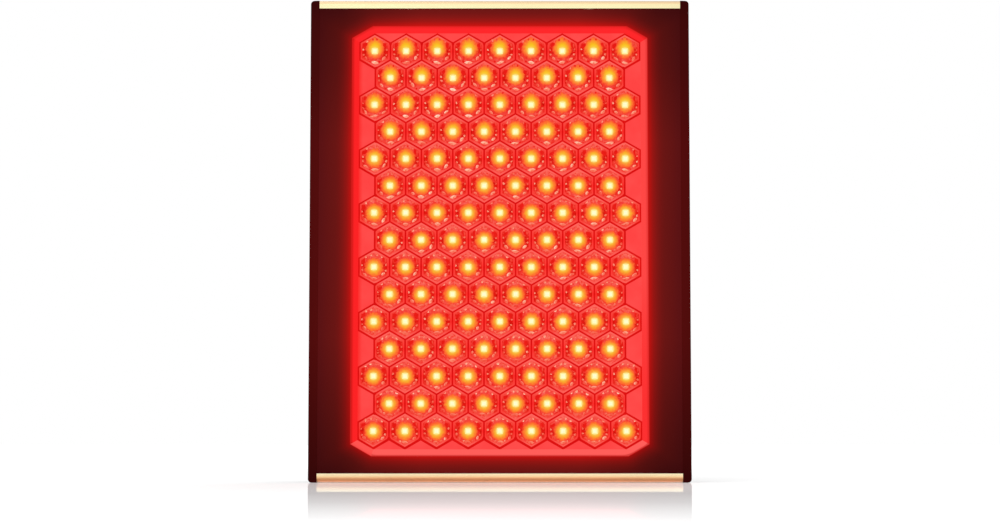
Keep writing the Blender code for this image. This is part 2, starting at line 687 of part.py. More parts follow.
def build_fan_rotor(shop, name, x, seat_y):
    hub_front = seat_y + FAN_RUNNING_GAP
    hub_back = INSIDE_Y - FAN_RUNNING_GAP
    bore_radius = (FAN_POST_RADIUS + SEAT_GAP) / math.cos(math.pi / SMALL_ROUND_SIDES)
    bm = bmesh.new()
    add_drum(bm, x, FAN_Z, FAN_HUB_RADIUS, hub_front, hub_back, ROUND_SIDES)
    rotor = shop.piece(name, bm, shop.plastic, (x, hub_front, FAN_Z), smooth=True)
    blades = bmesh.new()
    inner = FAN_HUB_RADIUS - 2 * WELD_OVERLAP
    outer = FAN_BORE_RADIUS * math.cos(math.pi / ROUND_SIDES) - FAN_TIP_CLEARANCE
    centre = Vector((x, (hub_front + hub_back) / 2, FAN_Z))
    lean = Matrix.Rotation(math.radians(FAN_BLADE_PITCH_DEGREES), 4, "X")
    for index in range(FAN_BLADE_COUNT):
        turn = Matrix.Rotation(2 * math.pi * index / FAN_BLADE_COUNT, 4, "Y")
        half_thickness, half_chord = FAN_BLADE_THICKNESS / 2, FAN_BLADE_CHORD / 2
        low = (inner, -half_thickness, -half_chord)
        verts = add_block(blades, low, (outer, half_thickness, half_chord))
        bmesh.ops.transform(blades, matrix=Matrix.Translation(centre) @ turn @ lean, verts=verts)
    shop.join(rotor, blades)
    bore = bmesh.new()
    bore_end = hub_front + FAN_POST_LENGTH + SEAT_GAP
    add_drum(bore, x, FAN_Z, bore_radius, hub_front - OVERRUN, bore_end, SMALL_ROUND_SIDES)
    shop.cut(rotor, bore)


def build_fan_guard(shop, name, x):
    back = ON_COVER_Y + GUARD_THICKNESS
    bm = bmesh.new()
    add_drum(bm, x, FAN_Z, GUARD_RADIUS, ON_COVER_Y, back)
    guard = shop.piece(name, bm, shop.sheet, (x, ON_COVER_Y, FAN_Z), smooth=True)
    slots = bmesh.new()
    place = Matrix.Translation((x, ON_COVER_Y, FAN_Z))
    for index in range(GUARD_SLOT_COUNT):
        turn = Matrix.Rotation(2 * math.pi * (index + 0.5) / GUARD_SLOT_COUNT, 4, "Y")
        low = (GUARD_HUB_RADIUS, -OVERRUN, -GUARD_SLOT_WIDTH / 2)
        high = (GUARD_RADIUS - GUARD_RIM_WIDTH, GUARD_THICKNESS + OVERRUN, GUARD_SLOT_WIDTH / 2)
        verts = add_block(slots, low, high)
        bmesh.ops.transform(slots, matrix=place @ turn, verts=verts)
    shop.cut(guard, slots)


def build_fans(shop):
    for side, across in ((-1, "left"), (1, "right")):
        x = side * FAN_SPACING / 2
        seat_y = build_fan_frame(shop, f"fan_frame_{across}", x)
        build_fan_rotor(shop, f"fan_rotor_{across}", x, seat_y)
        build_fan_guard(shop, f"fan_guard_{across}", x)


def build_driver(shop):
    half_x = DRIVER_SIZE_X / 2
    low_z = DRIVER_HEIGHT_ABOVE_BASE
    high_z = low_z + DRIVER_SIZE_Z
    bracket_y = INSIDE_Y - DRIVER_BRACKET_THICKNESS
    case_back = bracket_y - SEAT_GAP
    bm = bmesh.new()
    add_block(bm, (-half_x, case_back - DRIVER_DEPTH, low_z), (half_x, case_back, high_z))
    round_edges(bm, lambda co: True, DRIVER_ROUND, 1)
    shop.piece("driver_case", bm, shop.bare)
    bm = bmesh.new()
    ear_x = half_x + DRIVER_BRACKET_EAR
    add_block(bm, (-ear_x, bracket_y, low_z), (ear_x, INSIDE_Y, high_z))
    shop.piece("driver_bracket", bm, shop.steel)


def build_mains_inlet(shop):
    x, z = INLET_CENTRE_X, CONTROL_ROW_HEIGHT
    face_y = ON_COVER_Y + INLET_FLANGE_THICKNESS
    cavity_floor = face_y - INLET_CAVITY_DEPTH
    bm = bmesh.new()
    flange_low = (x - INLET_FLANGE_X / 2, ON_COVER_Y, z - INLET_FLANGE_Z / 2)
    add_block(bm, flange_low, (x + INLET_FLANGE_X / 2, face_y, z + INLET_FLANGE_Z / 2))
    inlet = shop.piece("mains_inlet", bm, shop.plastic)
    body = bmesh.new()
    body_low = (x - INLET_BODY_X / 2, face_y - INLET_BODY_DEPTH, z - INLET_BODY_Z / 2)
    body_high = (x + INLET_BODY_X / 2, ON_COVER_Y + INLET_FLANGE_THICKNESS / 2, z + INLET_BODY_Z / 2)
    add_block(body, body_low, body_high)
    shop.join(inlet, body)
    half_x, half_z = INLET_CAVITY_X / 2, INLET_CAVITY_Z / 2
    outline = [
        (x - half_x, z - half_z),
        (x + half_x, z - half_z),
        (x + half_x, z + half_z - INLET_CHAMFER),
        (x + half_x - INLET_CHAMFER, z + half_z),
        (x - half_x + INLET_CHAMFER, z + half_z),
        (x - half_x, z + half_z - INLET_CHAMFER),
    ]
    cavity = bmesh.new()
    add_prism(cavity, [(cavity_floor, outline), (face_y + OVERRUN, outline)])
    shop.cut(inlet, cavity)
    pins = (("live", -PIN_SPREAD / 2, 0), ("neutral", PIN_SPREAD / 2, 0), ("earth", 0, PIN_EARTH_RISE))
    for use, across, rise in pins:
        low = (x + across - PIN_BLADE_X / 2, cavity_floor + SEAT_GAP, z + rise - PIN_BLADE_Z / 2)
        pin = bmesh.new()
        add_block(pin, low, (low[0] + PIN_BLADE_X, low[1] + PIN_LENGTH, low[2] + PIN_BLADE_Z))
        shop.piece(f"inlet_pin_{use}", pin, shop.steel)


def build_lead(shop, name, start, start_pull, end_pull, end):
    """A lead that leaves start and reaches end square to what it joins."""
    curve = bpy.data.curves.new(name, "CURVE")
    curve.dimensions = "3D"
    curve.bevel_depth = LEAD_RADIUS
    curve.bevel_resolution = 2
    curve.use_fill_caps = True
    start, end = Vector(start), Vector(end)
    handles = start + Vector(start_pull), end + Vector(end_pull)
    route = interpolate_bezier(start, *handles, end, LEAD_POINTS)
    spline = curve.splines.new("POLY")
    spline.points.add(len(route) - 1)
    for point, place in zip(spline.points, route):
        point.co = (*place, 1)
    lead = bpy.data.objects.new(name, curve)
    curve.materials.append(shop.rubber)
    shop.parts.objects.link(lead)


def build_leads(shop):
    inlet_back = ON_COVER_Y + INLET_FLANGE_THICKNESS - INLET_BODY_DEPTH - SEAT_GAP
    switch_back = ON_COVER_Y + SWITCH_FLANGE_THICKNESS - SWITCH_BODY_DEPTH - SEAT_GAP
    driver_y = INSIDE_Y - DRIVER_BRACKET_THICKNESS - SEAT_GAP - DRIVER_DEPTH / 2
    inwards = (0, -LEAD_BEND, 0)
    low_terminal = CONTROL_ROW_HEIGHT - LEAD_TERMINAL_RISE
    high_terminal = CONTROL_ROW_HEIGHT + LEAD_TERMINAL_RISE
    build_lead(
        shop,
        "mains_lead",
        (INLET_CENTRE_X, inlet_back, CONTROL_ROW_HEIGHT),
        inwards,
        inwards,
        (SWITCH_CENTRE_X, switch_back, low_terminal),
    )
    build_lead(
        shop,
        "driver_lead",
        (SWITCH_CENTRE_X, switch_back, high_terminal),
        inwards,
        (0, 0, -LEAD_BEND),
        (SWITCH_CENTRE_X, driver_y, DRIVER_HEIGHT_ABOVE_BASE - SEAT_GAP),
    )
    middle_z = DRIVER_HEIGHT_ABOVE_BASE + DRIVER_SIZE_Z / 2
    build_lead(
        shop,
        "led_lead",
        (DRIVER_SIZE_X / 2 + SEAT_GAP, driver_y, middle_z),
        (LED_LEAD_REACH, 0, 0),
        (LED_LEAD_RETURN, 0, 0),
        (board_corner()[0] + SEAT_GAP, BOARD_Y + BOARD_THICKNESS / 2, middle_z),
    )


def rocker_outline():
    """The rocker's side view as (y, z) about its pivot: a shallow valley outside and a keel inside."""
    half = SWITCH_BODY_Z / 2 - SWITCH_WALL - ROCKER_END_GAP
    return [
        (ROCKER_WING_RISE, half),
        (ROCKER_VALLEY_RISE, 0),
        (ROCKER_WING_RISE, -half),
        (-ROCKER_PIVOT_RISE, -half),
        (-ROCKER_KEEL, -half * ROCKER_KEEL_SHARE),
        (-ROCKER_KEEL, half * ROCKER_KEEL_SHARE),
        (-ROCKER_PIVOT_RISE, half),
    ]


def build_switch(shop):
    x, z = SWITCH_CENTRE_X, CONTROL_ROW_HEIGHT
    face_y = ON_COVER_Y + SWITCH_FLANGE_THICKNESS
    bm = bmesh.new()
    flange_low = (x - SWITCH_FLANGE_X / 2, ON_COVER_Y, z - SWITCH_FLANGE_Z / 2)
    add_block(bm, flange_low, (x + SWITCH_FLANGE_X / 2, face_y, z + SWITCH_FLANGE_Z / 2))
    switch = shop.piece("switch_body", bm, shop.plastic)
    body = bmesh.new()
    body_low = (x - SWITCH_BODY_X / 2, face_y - SWITCH_BODY_DEPTH, z - SWITCH_BODY_Z / 2)
    body_high = (x + SWITCH_BODY_X / 2, ON_COVER_Y + SWITCH_FLANGE_THICKNESS / 2, z + SWITCH_BODY_Z / 2)
    add_block(body, body_low, body_high)
    shop.join(switch, body)
    half_x = SWITCH_BODY_X / 2 - SWITCH_WALL
    half_z = SWITCH_BODY_Z / 2 - SWITCH_WALL
    cavity = bmesh.new()
    add_block(
        cavity,
        (x - half_x, face_y - SWITCH_CAVITY_DEPTH, z - half_z),
        (x + half_x, face_y + OVERRUN, z + half_z),
    )
    shop.cut(switch, cavity)
    pivot = Vector((x, face_y - ROCKER_PIVOT_RISE, z))
    half_width = half_x - ROCKER_SIDE_GAP
    rocker = bmesh.new()
    # Drawn along Y, then turned so that its length lies along X.
    outline = rocker_outline()
    add_prism(rocker, [(-half_width, outline), (half_width, outline)])
    bmesh.ops.rotate(rocker, verts=rocker.verts, matrix=Matrix.Rotation(math.radians(90), 3, "Z"))
    bmesh.ops.rotate(
        rocker, verts=rocker.verts, matrix=Matrix.Rotation(math.radians(ROCKER_TILT_DEGREES), 3, "X")
    )
    bmesh.ops.translate(rocker, verts=rocker.verts, vec=pivot)
    shop.piece("switch_rocker", rocker, shop.plastic, pivot)


def button_places():
    return [DISPLAY_CENTRE_X + step * BUTTON_SPACING for step in (-1, 0, 1)]


def build_controls(shop):
    flange_y = INSIDE_Y - BUTTON_FLANGE_THICKNESS
    module_y = INSIDE_Y - DISPLAY_MODULE_DEPTH
    board_back = module_y - SEAT_GAP
    board_y = board_back - CONTROL_BOARD_THICKNESS
    tray_y = board_y - SEAT_GAP
    low_x = DISPLAY_CENTRE_X - BUTTON_SPACING - CARRIER_BORDER - BUTTON_RADIUS
    high_x = 2 * DISPLAY_CENTRE_X - low_x
    low_z = BUTTON_Z - BUTTON_FLANGE_RADIUS - SEAT_GAP
    high_z = DISPLAY_Z + DISPLAY_SIZE_Z / 2 + CARRIER_BORDER / 2

    window = bmesh.new()
    half_x, half_z = DISPLAY_SIZE_X / 2, DISPLAY_SIZE_Z / 2
    window_low = (DISPLAY_CENTRE_X - half_x, COVER_INNER_Y, DISPLAY_Z - half_z)
    add_block(window, window_low, (DISPLAY_CENTRE_X + half_x, COVER_Y, DISPLAY_Z + half_z))
    shop.piece("display_window", window, shop.glass)

    module = bmesh.new()
    half_x, half_z = half_x - DISPLAY_MODULE_INSET, half_z - DISPLAY_MODULE_INSET
    module_low = (DISPLAY_CENTRE_X - half_x, module_y, DISPLAY_Z - half_z)
    add_block(module, module_low, (DISPLAY_CENTRE_X + half_x, INSIDE_Y, DISPLAY_Z + half_z))
    shop.piece("display_module", module, shop.plastic)

    board = bmesh.new()
    inset = CARRIER_WALL + SEAT_GAP
    add_block(board, (low_x + inset, board_y, low_z), (high_x - inset, board_back, high_z))
    board = shop.piece("control_board", board, shop.green)
    tacts = bmesh.new()
    tact_tip = flange_y - BUTTON_TRAVEL - SEAT_GAP
    for x in button_places():
        half = TACT_SIDE / 2
        tact_low = (x - half, board_back - CONTROL_BOARD_THICKNESS / 2, BUTTON_Z - half)
        add_block(tacts, tact_low, (x + half, tact_tip, BUTTON_Z + half))
    shop.join(board, tacts)

    tray = bmesh.new()
    add_block(tray, (low_x, tray_y - CARRIER_WALL, low_z), (high_x, tray_y, high_z))
    tray = shop.piece("control_carrier", tray, shop.plastic)
    walls = bmesh.new()
    for x in (low_x, high_x - CARRIER_WALL):
        add_block(walls, (x, tray_y - CARRIER_WALL / 2, low_z), (x + CARRIER_WALL, INSIDE_Y, high_z))
    shop.join(tray, walls)

    for x, use in zip(button_places(), ("timer", "mode", "power")):
        cap_y = COVER_Y + BUTTON_PROUD
        cap_root = flange_y + BUTTON_FLANGE_THICKNESS / 2
        cap = bmesh.new()
        add_drum(cap, x, BUTTON_Z, BUTTON_RADIUS, cap_root, cap_y, SMALL_ROUND_SIDES)
        round_edges(cap, lambda co, top=cap_y: co.y > top - BUTTON_SLIDE_GAP, BUTTON_ROUND, 1)
        button = shop.piece(f"button_{use}", cap, shop.plastic, (x, COVER_Y, BUTTON_Z), smooth=True)
        flange = bmesh.new()
        add_drum(flange, x, BUTTON_Z, BUTTON_FLANGE_RADIUS, flange_y, INSIDE_Y, SMALL_ROUND_SIDES)
        shop.join(button, flange)


def build_stand(shop):
    """A folding rear stand: two legs on hinge pins, a bar between them and a rubber foot under it."""
    hinge = shop.empty("stand_hinge", (0, HINGE_Y, HINGE_Z))
    low_y, high_y = HINGE_Y - STAND_THICKNESS / 2, HINGE_Y + STAND_THICKNESS / 2
    bar_low = STAND_BAR_ABOVE_BASE + STAND_FOOT_HEIGHT + SEAT_GAP
    bar_high = bar_low + STAND_BAR_HEIGHT
    inner_x = LEG_X - STAND_LEG_WIDTH / 2
    pin_hole = HINGE_PIN_RADIUS + HINGE_PIN_GAP
    for side, across in ((-1, "left"), (1, "right")):
        x = side * LEG_X
        half = STAND_LEG_WIDTH / 2
        leg = bmesh.new()
        add_block(leg, (x - half, low_y, bar_low), (x + half, high_y, HINGE_Z + STAND_HEEL))
        leg = shop.piece(f"stand_leg_{across}", leg, shop.black)
        hole = bmesh.new()
        add_bar(hole, x - half - OVERRUN, x + half + OVERRUN, pin_hole)
        shop.cut(leg, hole)
        hang_on(leg, hinge)
        build_hinge(shop, across, x)
    bar = bmesh.new()
    reach = inner_x - SEAT_GAP
    add_block(bar, (-reach, low_y, bar_low), (reach, high_y, bar_high))
    hang_on(shop.piece("stand_bar", bar, shop.black), hinge)
    foot = bmesh.new()
    half_foot = STAND_FOOT_LENGTH / 2
    add_block(foot, (-half_foot, low_y, STAND_BAR_ABOVE_BASE), (half_foot, high_y, bar_low - SEAT_GAP))
    hang_on(shop.piece("stand_foot", foot, shop.rubber), hinge)


def add_bar(bm, low_x, high_x, radius):
    """A round bar along the stand's hinge axis."""
    matrix = Matrix.Translation(((low_x + high_x) / 2, HINGE_Y, HINGE_Z)) @ ALONG_X
    length = high_x - low_x
    bmesh.ops.create_cone(
        bm, cap_ends=True, segments=SCREW_SIDES, radius1=radius, radius2=radius, depth=length, matrix=matrix
    )


def build_hinge(shop, across, x):
    half = STAND_LEG_WIDTH / 2 + SEAT_GAP
    outer = half + BRACKET_EAR_THICKNESS
    high_y = HINGE_Y + STAND_THICKNESS / 2
    block_low = HINGE_Z + STAND_HEEL + BRACKET_HEEL_GAP
    ear_low = HINGE_Z - BRACKET_EAR_DROP
    bm = bmesh.new()
    add_block(bm, (x - outer, ON_COVER_Y, block_low), (x + outer, high_y, block_low + BRACKET_BLOCK_HEIGHT))
    bracket = shop.piece(f"stand_bracket_{across}", bm, shop.black)
    ears = bmesh.new()
    for low_x in (x - outer, x + half):
        low = (low_x, ON_COVER_Y, ear_low)
        add_block(ears, low, (low_x + BRACKET_EAR_THICKNESS, high_y, block_low + WELD_OVERLAP))
    shop.join(bracket, ears)
    hole = bmesh.new()
    add_bar(hole, x - outer - OVERRUN, x + outer + OVERRUN, HINGE_PIN_RADIUS + HINGE_PIN_GAP)
    shop.cut(bracket, hole)
    pin = bmesh.new()
    add_bar(pin, x - outer, x + outer, HINGE_PIN_RADIUS)
    shop.piece(f"hinge_pin_{across}", pin, shop.steel, (x, HINGE_Y, HINGE_Z), smooth=True)


def main():
    clear_scene()
    shop = Workshop()
    build_rails(shop)
    build_trims(shop)
    build_end_plates(shop)
    build_feet(shop)
    build_front_frame(shop)
    build_window_bezel(shop)
    build_lens_array(shop)
    build_seal(shop)
    build_led_board(shop)
    build_thermal_sheet(shop)
    build_heat_sink(shop)
    build_rear_cover(shop)
    build_cover_screws(shop)
    build_fans(shop)
    build_driver(shop)
    build_mains_inlet(shop)
    build_switch(shop)
    build_controls(shop)
    build_leads(shop)
    build_stand(shop)


main()
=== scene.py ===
import math
import random

import bmesh
import bpy
from mathutils import Matrix, Vector
from mathutils.geometry import tessellate_polygon


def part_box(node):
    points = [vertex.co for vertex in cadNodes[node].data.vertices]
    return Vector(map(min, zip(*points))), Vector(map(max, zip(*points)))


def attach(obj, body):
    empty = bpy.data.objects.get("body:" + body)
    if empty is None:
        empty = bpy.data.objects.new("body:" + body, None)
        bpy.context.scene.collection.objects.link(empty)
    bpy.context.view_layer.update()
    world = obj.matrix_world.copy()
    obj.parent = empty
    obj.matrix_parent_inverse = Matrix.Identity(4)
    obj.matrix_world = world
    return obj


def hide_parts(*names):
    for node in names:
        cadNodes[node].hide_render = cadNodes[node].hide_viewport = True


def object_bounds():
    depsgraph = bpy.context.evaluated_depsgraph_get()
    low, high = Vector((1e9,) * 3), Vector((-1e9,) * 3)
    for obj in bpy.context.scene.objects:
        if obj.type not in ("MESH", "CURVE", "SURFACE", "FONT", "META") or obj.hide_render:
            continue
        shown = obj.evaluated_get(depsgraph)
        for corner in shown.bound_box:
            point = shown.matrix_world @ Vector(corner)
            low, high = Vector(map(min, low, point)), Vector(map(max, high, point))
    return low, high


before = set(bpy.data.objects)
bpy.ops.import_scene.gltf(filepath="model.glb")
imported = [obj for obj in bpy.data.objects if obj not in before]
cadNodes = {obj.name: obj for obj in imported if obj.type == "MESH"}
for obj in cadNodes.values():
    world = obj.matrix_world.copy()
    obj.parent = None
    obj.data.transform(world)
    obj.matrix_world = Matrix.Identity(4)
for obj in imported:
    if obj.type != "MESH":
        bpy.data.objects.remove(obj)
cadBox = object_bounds()
mm = 0.001
draws = random.Random(7)  # every random choice below comes from this one
print("frame: loaded", len(cadNodes), "nodes")


def linearColour(hexText):
    # sRGB hex to the linear values that the sockets take
    channels = [int(hexText[place : place + 2], 16) / 255 for place in (1, 3, 5)]
    return [c / 12.92 if c <= 0.04045 else ((c + 0.055) / 1.055) ** 2.4 for c in channels] + [1.0]


def feed(node, inputs):
    # gives inputs a value each, or another node's output: its first one, unless a socket is named
    for key, value in inputs.items() if isinstance(inputs, dict) else enumerate(inputs):
        if isinstance(value, bpy.types.Node):
            value = value.outputs[0]
        if isinstance(value, bpy.types.NodeSocket):
            node.id_data.links.new(value, node.inputs[key])
        else:
            node.inputs[key].default_value = value


def addNode(tree, kind, inputs=(), stops=None, **settings):
    # adds one node: its properties, its inputs by name or in their own order, and a colour ramp's stops
    node = tree.nodes.new("ShaderNode" + kind)
    for key, value in settings.items():
        setattr(node, key, value)
    feed(node, inputs)
    if stops:
        elements = node.color_ramp.elements
        elements[0].position, elements[1].position = stops[0][0], stops[-1][0]
        for place, _ in stops[1:-1]:
            elements.new(place)
        for element, (_, colour) in zip(elements, stops):
            element.color = linearColour(colour) if isinstance(colour, str) else (colour, colour, colour, 1)
    return node


def startMaterial(name, **values):
    material = bpy.data.materials.new(name)
    material.use_nodes = True
    shader = material.node_tree.nodes["Principled BSDF"]
    feed(shader, {key.replace("_", " "): value for key, value in values.items()})
    return material.node_tree, shader


def wear(tree, shader, look):
    # fine surface: colour drifts between two hexes, roughness between two values, and a bump from the grain
    place = addNode(tree, "TexCoord").outputs["Object"]
    spread = addNode(tree, "Mapping", {"Scale": look["stretch"], "Vector": place})
    scales = {key: 1 / mm / look[key] for key in ("grain", "cloud")}
    grain = addNode(tree, "TexNoise", {"Vector": spread, "Scale": scales["grain"], "Detail": 3.0, "Roughness": 0.6})
    cloud = addNode(tree, "TexNoise", {"Vector": place, "Scale": scales["cloud"], "Detail": 2.0})
    half = addNode(tree, "Math", [cloud, 0.5], operation="MULTIPLY")
    both = addNode(tree, "Math", [grain, 0.5, half], operation="MULTIPLY_ADD")
    low, high = 0.3, 0.7  # between these lies nearly all of the noise
    feed(shader, {
        "Base Color": addNode(tree, "ValToRGB", [both], list(zip((low, high), look["colours"]))),
        "Roughness": addNode(tree, "MapRange", [both, low, high, *look["rough"]]),
        "Normal": addNode(tree, "Bump", {"Strength": look["bump"], "Distance": look["depth"] * mm, "Height": grain}),
    })


def newPiece(name, shape, finishes, replaced=None, body="housing", smooth=None):
    # puts a shape or an edited mesh in the scene as a piece that rides on a body and stands for a CAD node
    mesh = bpy.data.meshes.new(name)
    bm = shape
    if isinstance(shape, tuple):
        mesh.from_pydata([tuple(vert) for vert in shape[0]], [], shape[1])
        bm = bmesh.new()
        bm.from_mesh(mesh)
    bmesh.ops.recalc_face_normals(bm, faces=bm.faces[:])
    bm.to_mesh(mesh)
    bm.free()
    piece = bpy.data.objects.new(name, mesh)
    bpy.context.scene.collection.objects.link(piece)
    for finish in finishes if isinstance(finishes, list) else [finishes]:
        mesh.materials.append(bpy.data.materials[finish])
    if smooth is not None:
        mesh.shade_smooth()
        mesh.set_sharp_from_angle(angle=math.radians(smooth))
    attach(piece, body)
    if replaced:
        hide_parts(replaced)
    return piece


def stitch(first, second, count):
    # the faces between two closed loops of the same number of points, from their first indices
    return [(first + step, first + (step + 1) % count, second + (step + 1) % count, second + step)
            for step in range(count)]


def ringSolid(sections):
    # a closed frame: outlines with the same number of points, joined in a loop round its cross-section
    count = len(sections[0][1])
    faces = []
    for ring in range(len(sections)):
        faces += stitch(ring * count, (ring + 1) % len(sections) * count, count)
    return [(x, y, z) for y, outline in sections for x, z in outline], faces


faceLow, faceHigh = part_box("front_frame")
lensLow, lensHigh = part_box("lens_array")
bezelLow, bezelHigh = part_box("window_bezel")
railLow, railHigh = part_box("side_rail_right")
coverLow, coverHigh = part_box("rear_cover")
lensField = {
    "columns": 9,
    "rows": 15,
    "tuck": 4.2 * mm,  # how far the lens sheet reaches under the bezel
    "bezelWidth": 4.5 * mm,
    "sheetDepth": 2.0 * mm,  # how far the flat sheet between the lenses lies behind the front
}
fieldWidth = lensHigh.x - lensLow.x - 2 * lensField["tuck"]
fieldHeight = lensHigh.z - lensLow.z - 2 * lensField["tuck"]
bezelWidth = lensField["bezelWidth"]
pitch = fieldWidth / lensField["columns"]
rowStep = pitch * math.sqrt(3) / 2
cornerRadius = pitch / math.sqrt(3)
middleZ = (lensLow.z + lensHigh.z) / 2
frontY = faceLow.y
hexSlope = math.radians(30)


def fourfold(quarter, x=0.0, z=0.0):
    # eight points round a middle from the two in one quarter
    points = quarter + [(-a, b) for a, b in reversed(quarter)]
    points += [(-a, -b) for a, b in quarter] + [(a, -b) for a, b in reversed(quarter)]
    return [(x + a, z + b) for a, b in points]


def windowOutline(grow):
    # the window's eight corners, grown outwards from the lens field
    halfX, halfZ = fieldWidth / 2 + grow, fieldHeight / 2 + grow
    edgeRise = fieldHeight / 2 - cornerRadius / 2 + grow / math.cos(hexSlope)
    sideZ = edgeRise - math.tan(hexSlope) * (halfX - fieldWidth / 2)
    topX = fieldWidth / 2 - (halfZ - edgeRise) / math.tan(hexSlope)
    return fourfold([(halfX, sideZ), (topX, halfZ)], 0, middleZ)


def windowDistance(tree):
    # millimetres outside the window's edge, from the object's own coordinates
    slantRise = fieldHeight / 2 - cornerRadius / 2 + bezelWidth / math.cos(hexSlope)
    slantReach = (slantRise + math.tan(hexSlope) * fieldWidth / 2) * math.cos(hexSlope)
    axes = addNode(tree, "SeparateXYZ", [addNode(tree, "TexCoord").outputs["Object"]])
    across = addNode(tree, "Math", [axes], operation="ABSOLUTE")
    rise = addNode(tree, "Math", [axes.outputs["Z"], middleZ], operation="SUBTRACT")
    height = addNode(tree, "Math", [rise], operation="ABSOLUTE")
    leaning = addNode(tree, "Math", [across, math.sin(hexSlope)], operation="MULTIPLY")
    slanted = addNode(tree, "Math", [height, math.cos(hexSlope), leaning], operation="MULTIPLY_ADD")
    soft = 3 * mm  # rounds the glow's corners
    nearest = addNode(tree, "Math", [across, fieldWidth / 2 + bezelWidth], operation="SUBTRACT")
    for reach, edge in ((height, fieldHeight / 2 + bezelWidth), (slanted, slantReach)):
        beyond = addNode(tree, "Math", [reach, edge], operation="SUBTRACT")
        nearest = addNode(tree, "Math", [nearest, beyond, soft], operation="SMOOTH_MAX")
    return addNode(tree, "Math", [nearest, 1 / mm], operation="MULTIPLY"), axes, across, rise, height


# Satin black lacquer on steel: sprayed and baked, it drinks in light; the LEDs' red shows on it as a soft halo of
# painted light, an emission that fades away from the window.
lacquer = {
    "stretch": (1, 1, 1), "cloud": 40, "colours": ("#060203", "#0A0405"), "rough": (0.5, 0.6), "bump": 0.15,
    "grain": 0.5,  # orange peel, drawn at 0.5 mm
    "depth": 0.02, "sheen": 0.015,
    "haloReach": 30,  # mm over which the painted red glow fades
    "halo": [
        (0.0, "#C4110C"), (0.03, "#B20F0B"), (0.1, "#94120E"), (0.183, "#7E130F"), (0.267, "#6F120F"),
        (0.333, "#68120F"), (0.467, "#62110F"), (0.633, "#5A0F0F"), (1.0, "#50080A"),
    ],
}
# where the painted halo falls: from and to, in mm, and how much of it is lost or added there
haloFall = {
    "behindFront": (0.2, 2.6),
    "fromWindow": (0.9, 0.2),
    "nearEnd": (62, 150, 0.0, 0.57),
    "nearSide": (50, 100, 0.08, 1.0),
    "above": (110, 140, 1.0, 1.17),
}


def paintRedHalo(name, look):
    # paints the LEDs' red halo on as emission: strongest at the window's edge, fading away from it
    tree, shader = startMaterial(name, Specular_IOR_Level=look["sheen"])
    wear(tree, shader, look)
    distance, axes, across, rise, height = windowDistance(tree)
    near, far = (frontY + depth * mm for depth in haloFall["behindFront"])
    frontOnly = addNode(tree, "MapRange", [axes.outputs["Y"], near, far, 1.0, 0.0])
    atWindow = addNode(tree, "MapRange", [distance, *haloFall["fromWindow"]])
    lit = addNode(tree, "Math", [frontOnly, atWindow], operation="MAXIMUM")
    # the painted halo is weaker near the panel's ends, most of all in the corners, and a little stronger above the
    # window
    shares = []
    for key, value in (("nearEnd", height), ("nearSide", across), ("above", rise)):
        low, high, start, end = haloFall[key]
        shares.append(addNode(tree, "MapRange", [value, low * mm, high * mm, start, end]))
    loss = addNode(tree, "Math", shares[:2], operation="MULTIPLY")
    left = addNode(tree, "Math", [1.0, loss], operation="SUBTRACT")
    left = addNode(tree, "Math", [left, shares[2]], operation="MULTIPLY")
    feed(shader, {
        "Emission Color": addNode(
            tree, "ValToRGB", [addNode(tree, "MapRange", [distance, 0.0, look["haloReach"]])], look["halo"]),
        "Emission Strength": addNode(tree, "Math", [lit, left], operation="MULTIPLY"),
    })


# Extruded aluminium, anodised black: satin, with faint draw lines along the length.
anodised = {
    "stretch": (1, 1, 0.02), "cloud": 60, "colours": ("#0A0606", "#1A1011"), "rough": (0.38, 0.5), "bump": 0.2,
    "grain": 0.35,  # draw lines, drawn at 0.35 mm
    "depth": 0.015, "sheen": 0.015,
}
# the rails' front faces: a darker, duller copy of the black as painted shade, with a weaker painted red halo
anodisedPaintedHalo = dict(anodised, colours=("#040202", "#070304"), haloReach=30)
anodisedPaintedHalo["halo"] = [(0.0, "#5A0A08"), (0.75, "#500706"), (1.0, "#4A0605")]
paintRedHalo("satin lacquered steel", lacquer)
paintRedHalo("black anodised extrusion, painted red halo", anodisedPaintedHalo)
wear(*startMaterial("black anodised aluminium", Metallic=0.4, Specular_IOR_Level=0.3), anodised)

# Champagne anodised aluminium: brushed along its length before dyeing, so highlights run lengthwise.
# the top and bottom ramps paint shade and reflection into the colour: the top strip darker at its upper edge, the
# bottom strip copper-dark on its lower rounding with a paler line at its very edge
champagne = {
    "stretch": (0.02, 1, 1), "grain": 0.25, "cloud": 50, "colours": ("#F4F4F4", "#FFFFFF"), "rough": (0.24, 0.32),
    "bump": 0.12, "depth": 0.01,
    "paintedShadeReach": 6.0,  # mm from the panel's end that the painted shade ramps below run over
    "top": [
        (0.0, "#DCC8A6"), (0.09, "#E5CDAB"), (0.19, "#F3D3A5"), (0.3, "#FEE2AD"), (0.4, "#FFF1BD"), (1.0, "#FFF2BF"),
    ],
    "bottom": [
        (0.0, "#FFE6D2"), (0.07, "#FFD6BA"), (0.15, "#FFBE92"), (0.2, "#DFA076"), (0.26, "#D2966B"),
        (0.36, "#D59A6D"), (0.47, "#ECB888"), (0.58, "#FFD69E"), (0.68, "#FFE5B1"), (0.79, "#FFECBD"),
        (1.0, "#FFF4CC"),
    ],
}
tree, shader = startMaterial("champagne anodised aluminium", Metallic=1.0)
wear(tree, shader, champagne)
axes = addNode(tree, "SeparateXYZ", [addNode(tree, "TexCoord").outputs["Object"]])
fromMiddle = addNode(tree, "Math", [axes.outputs["Z"], middleZ], operation="SUBTRACT")
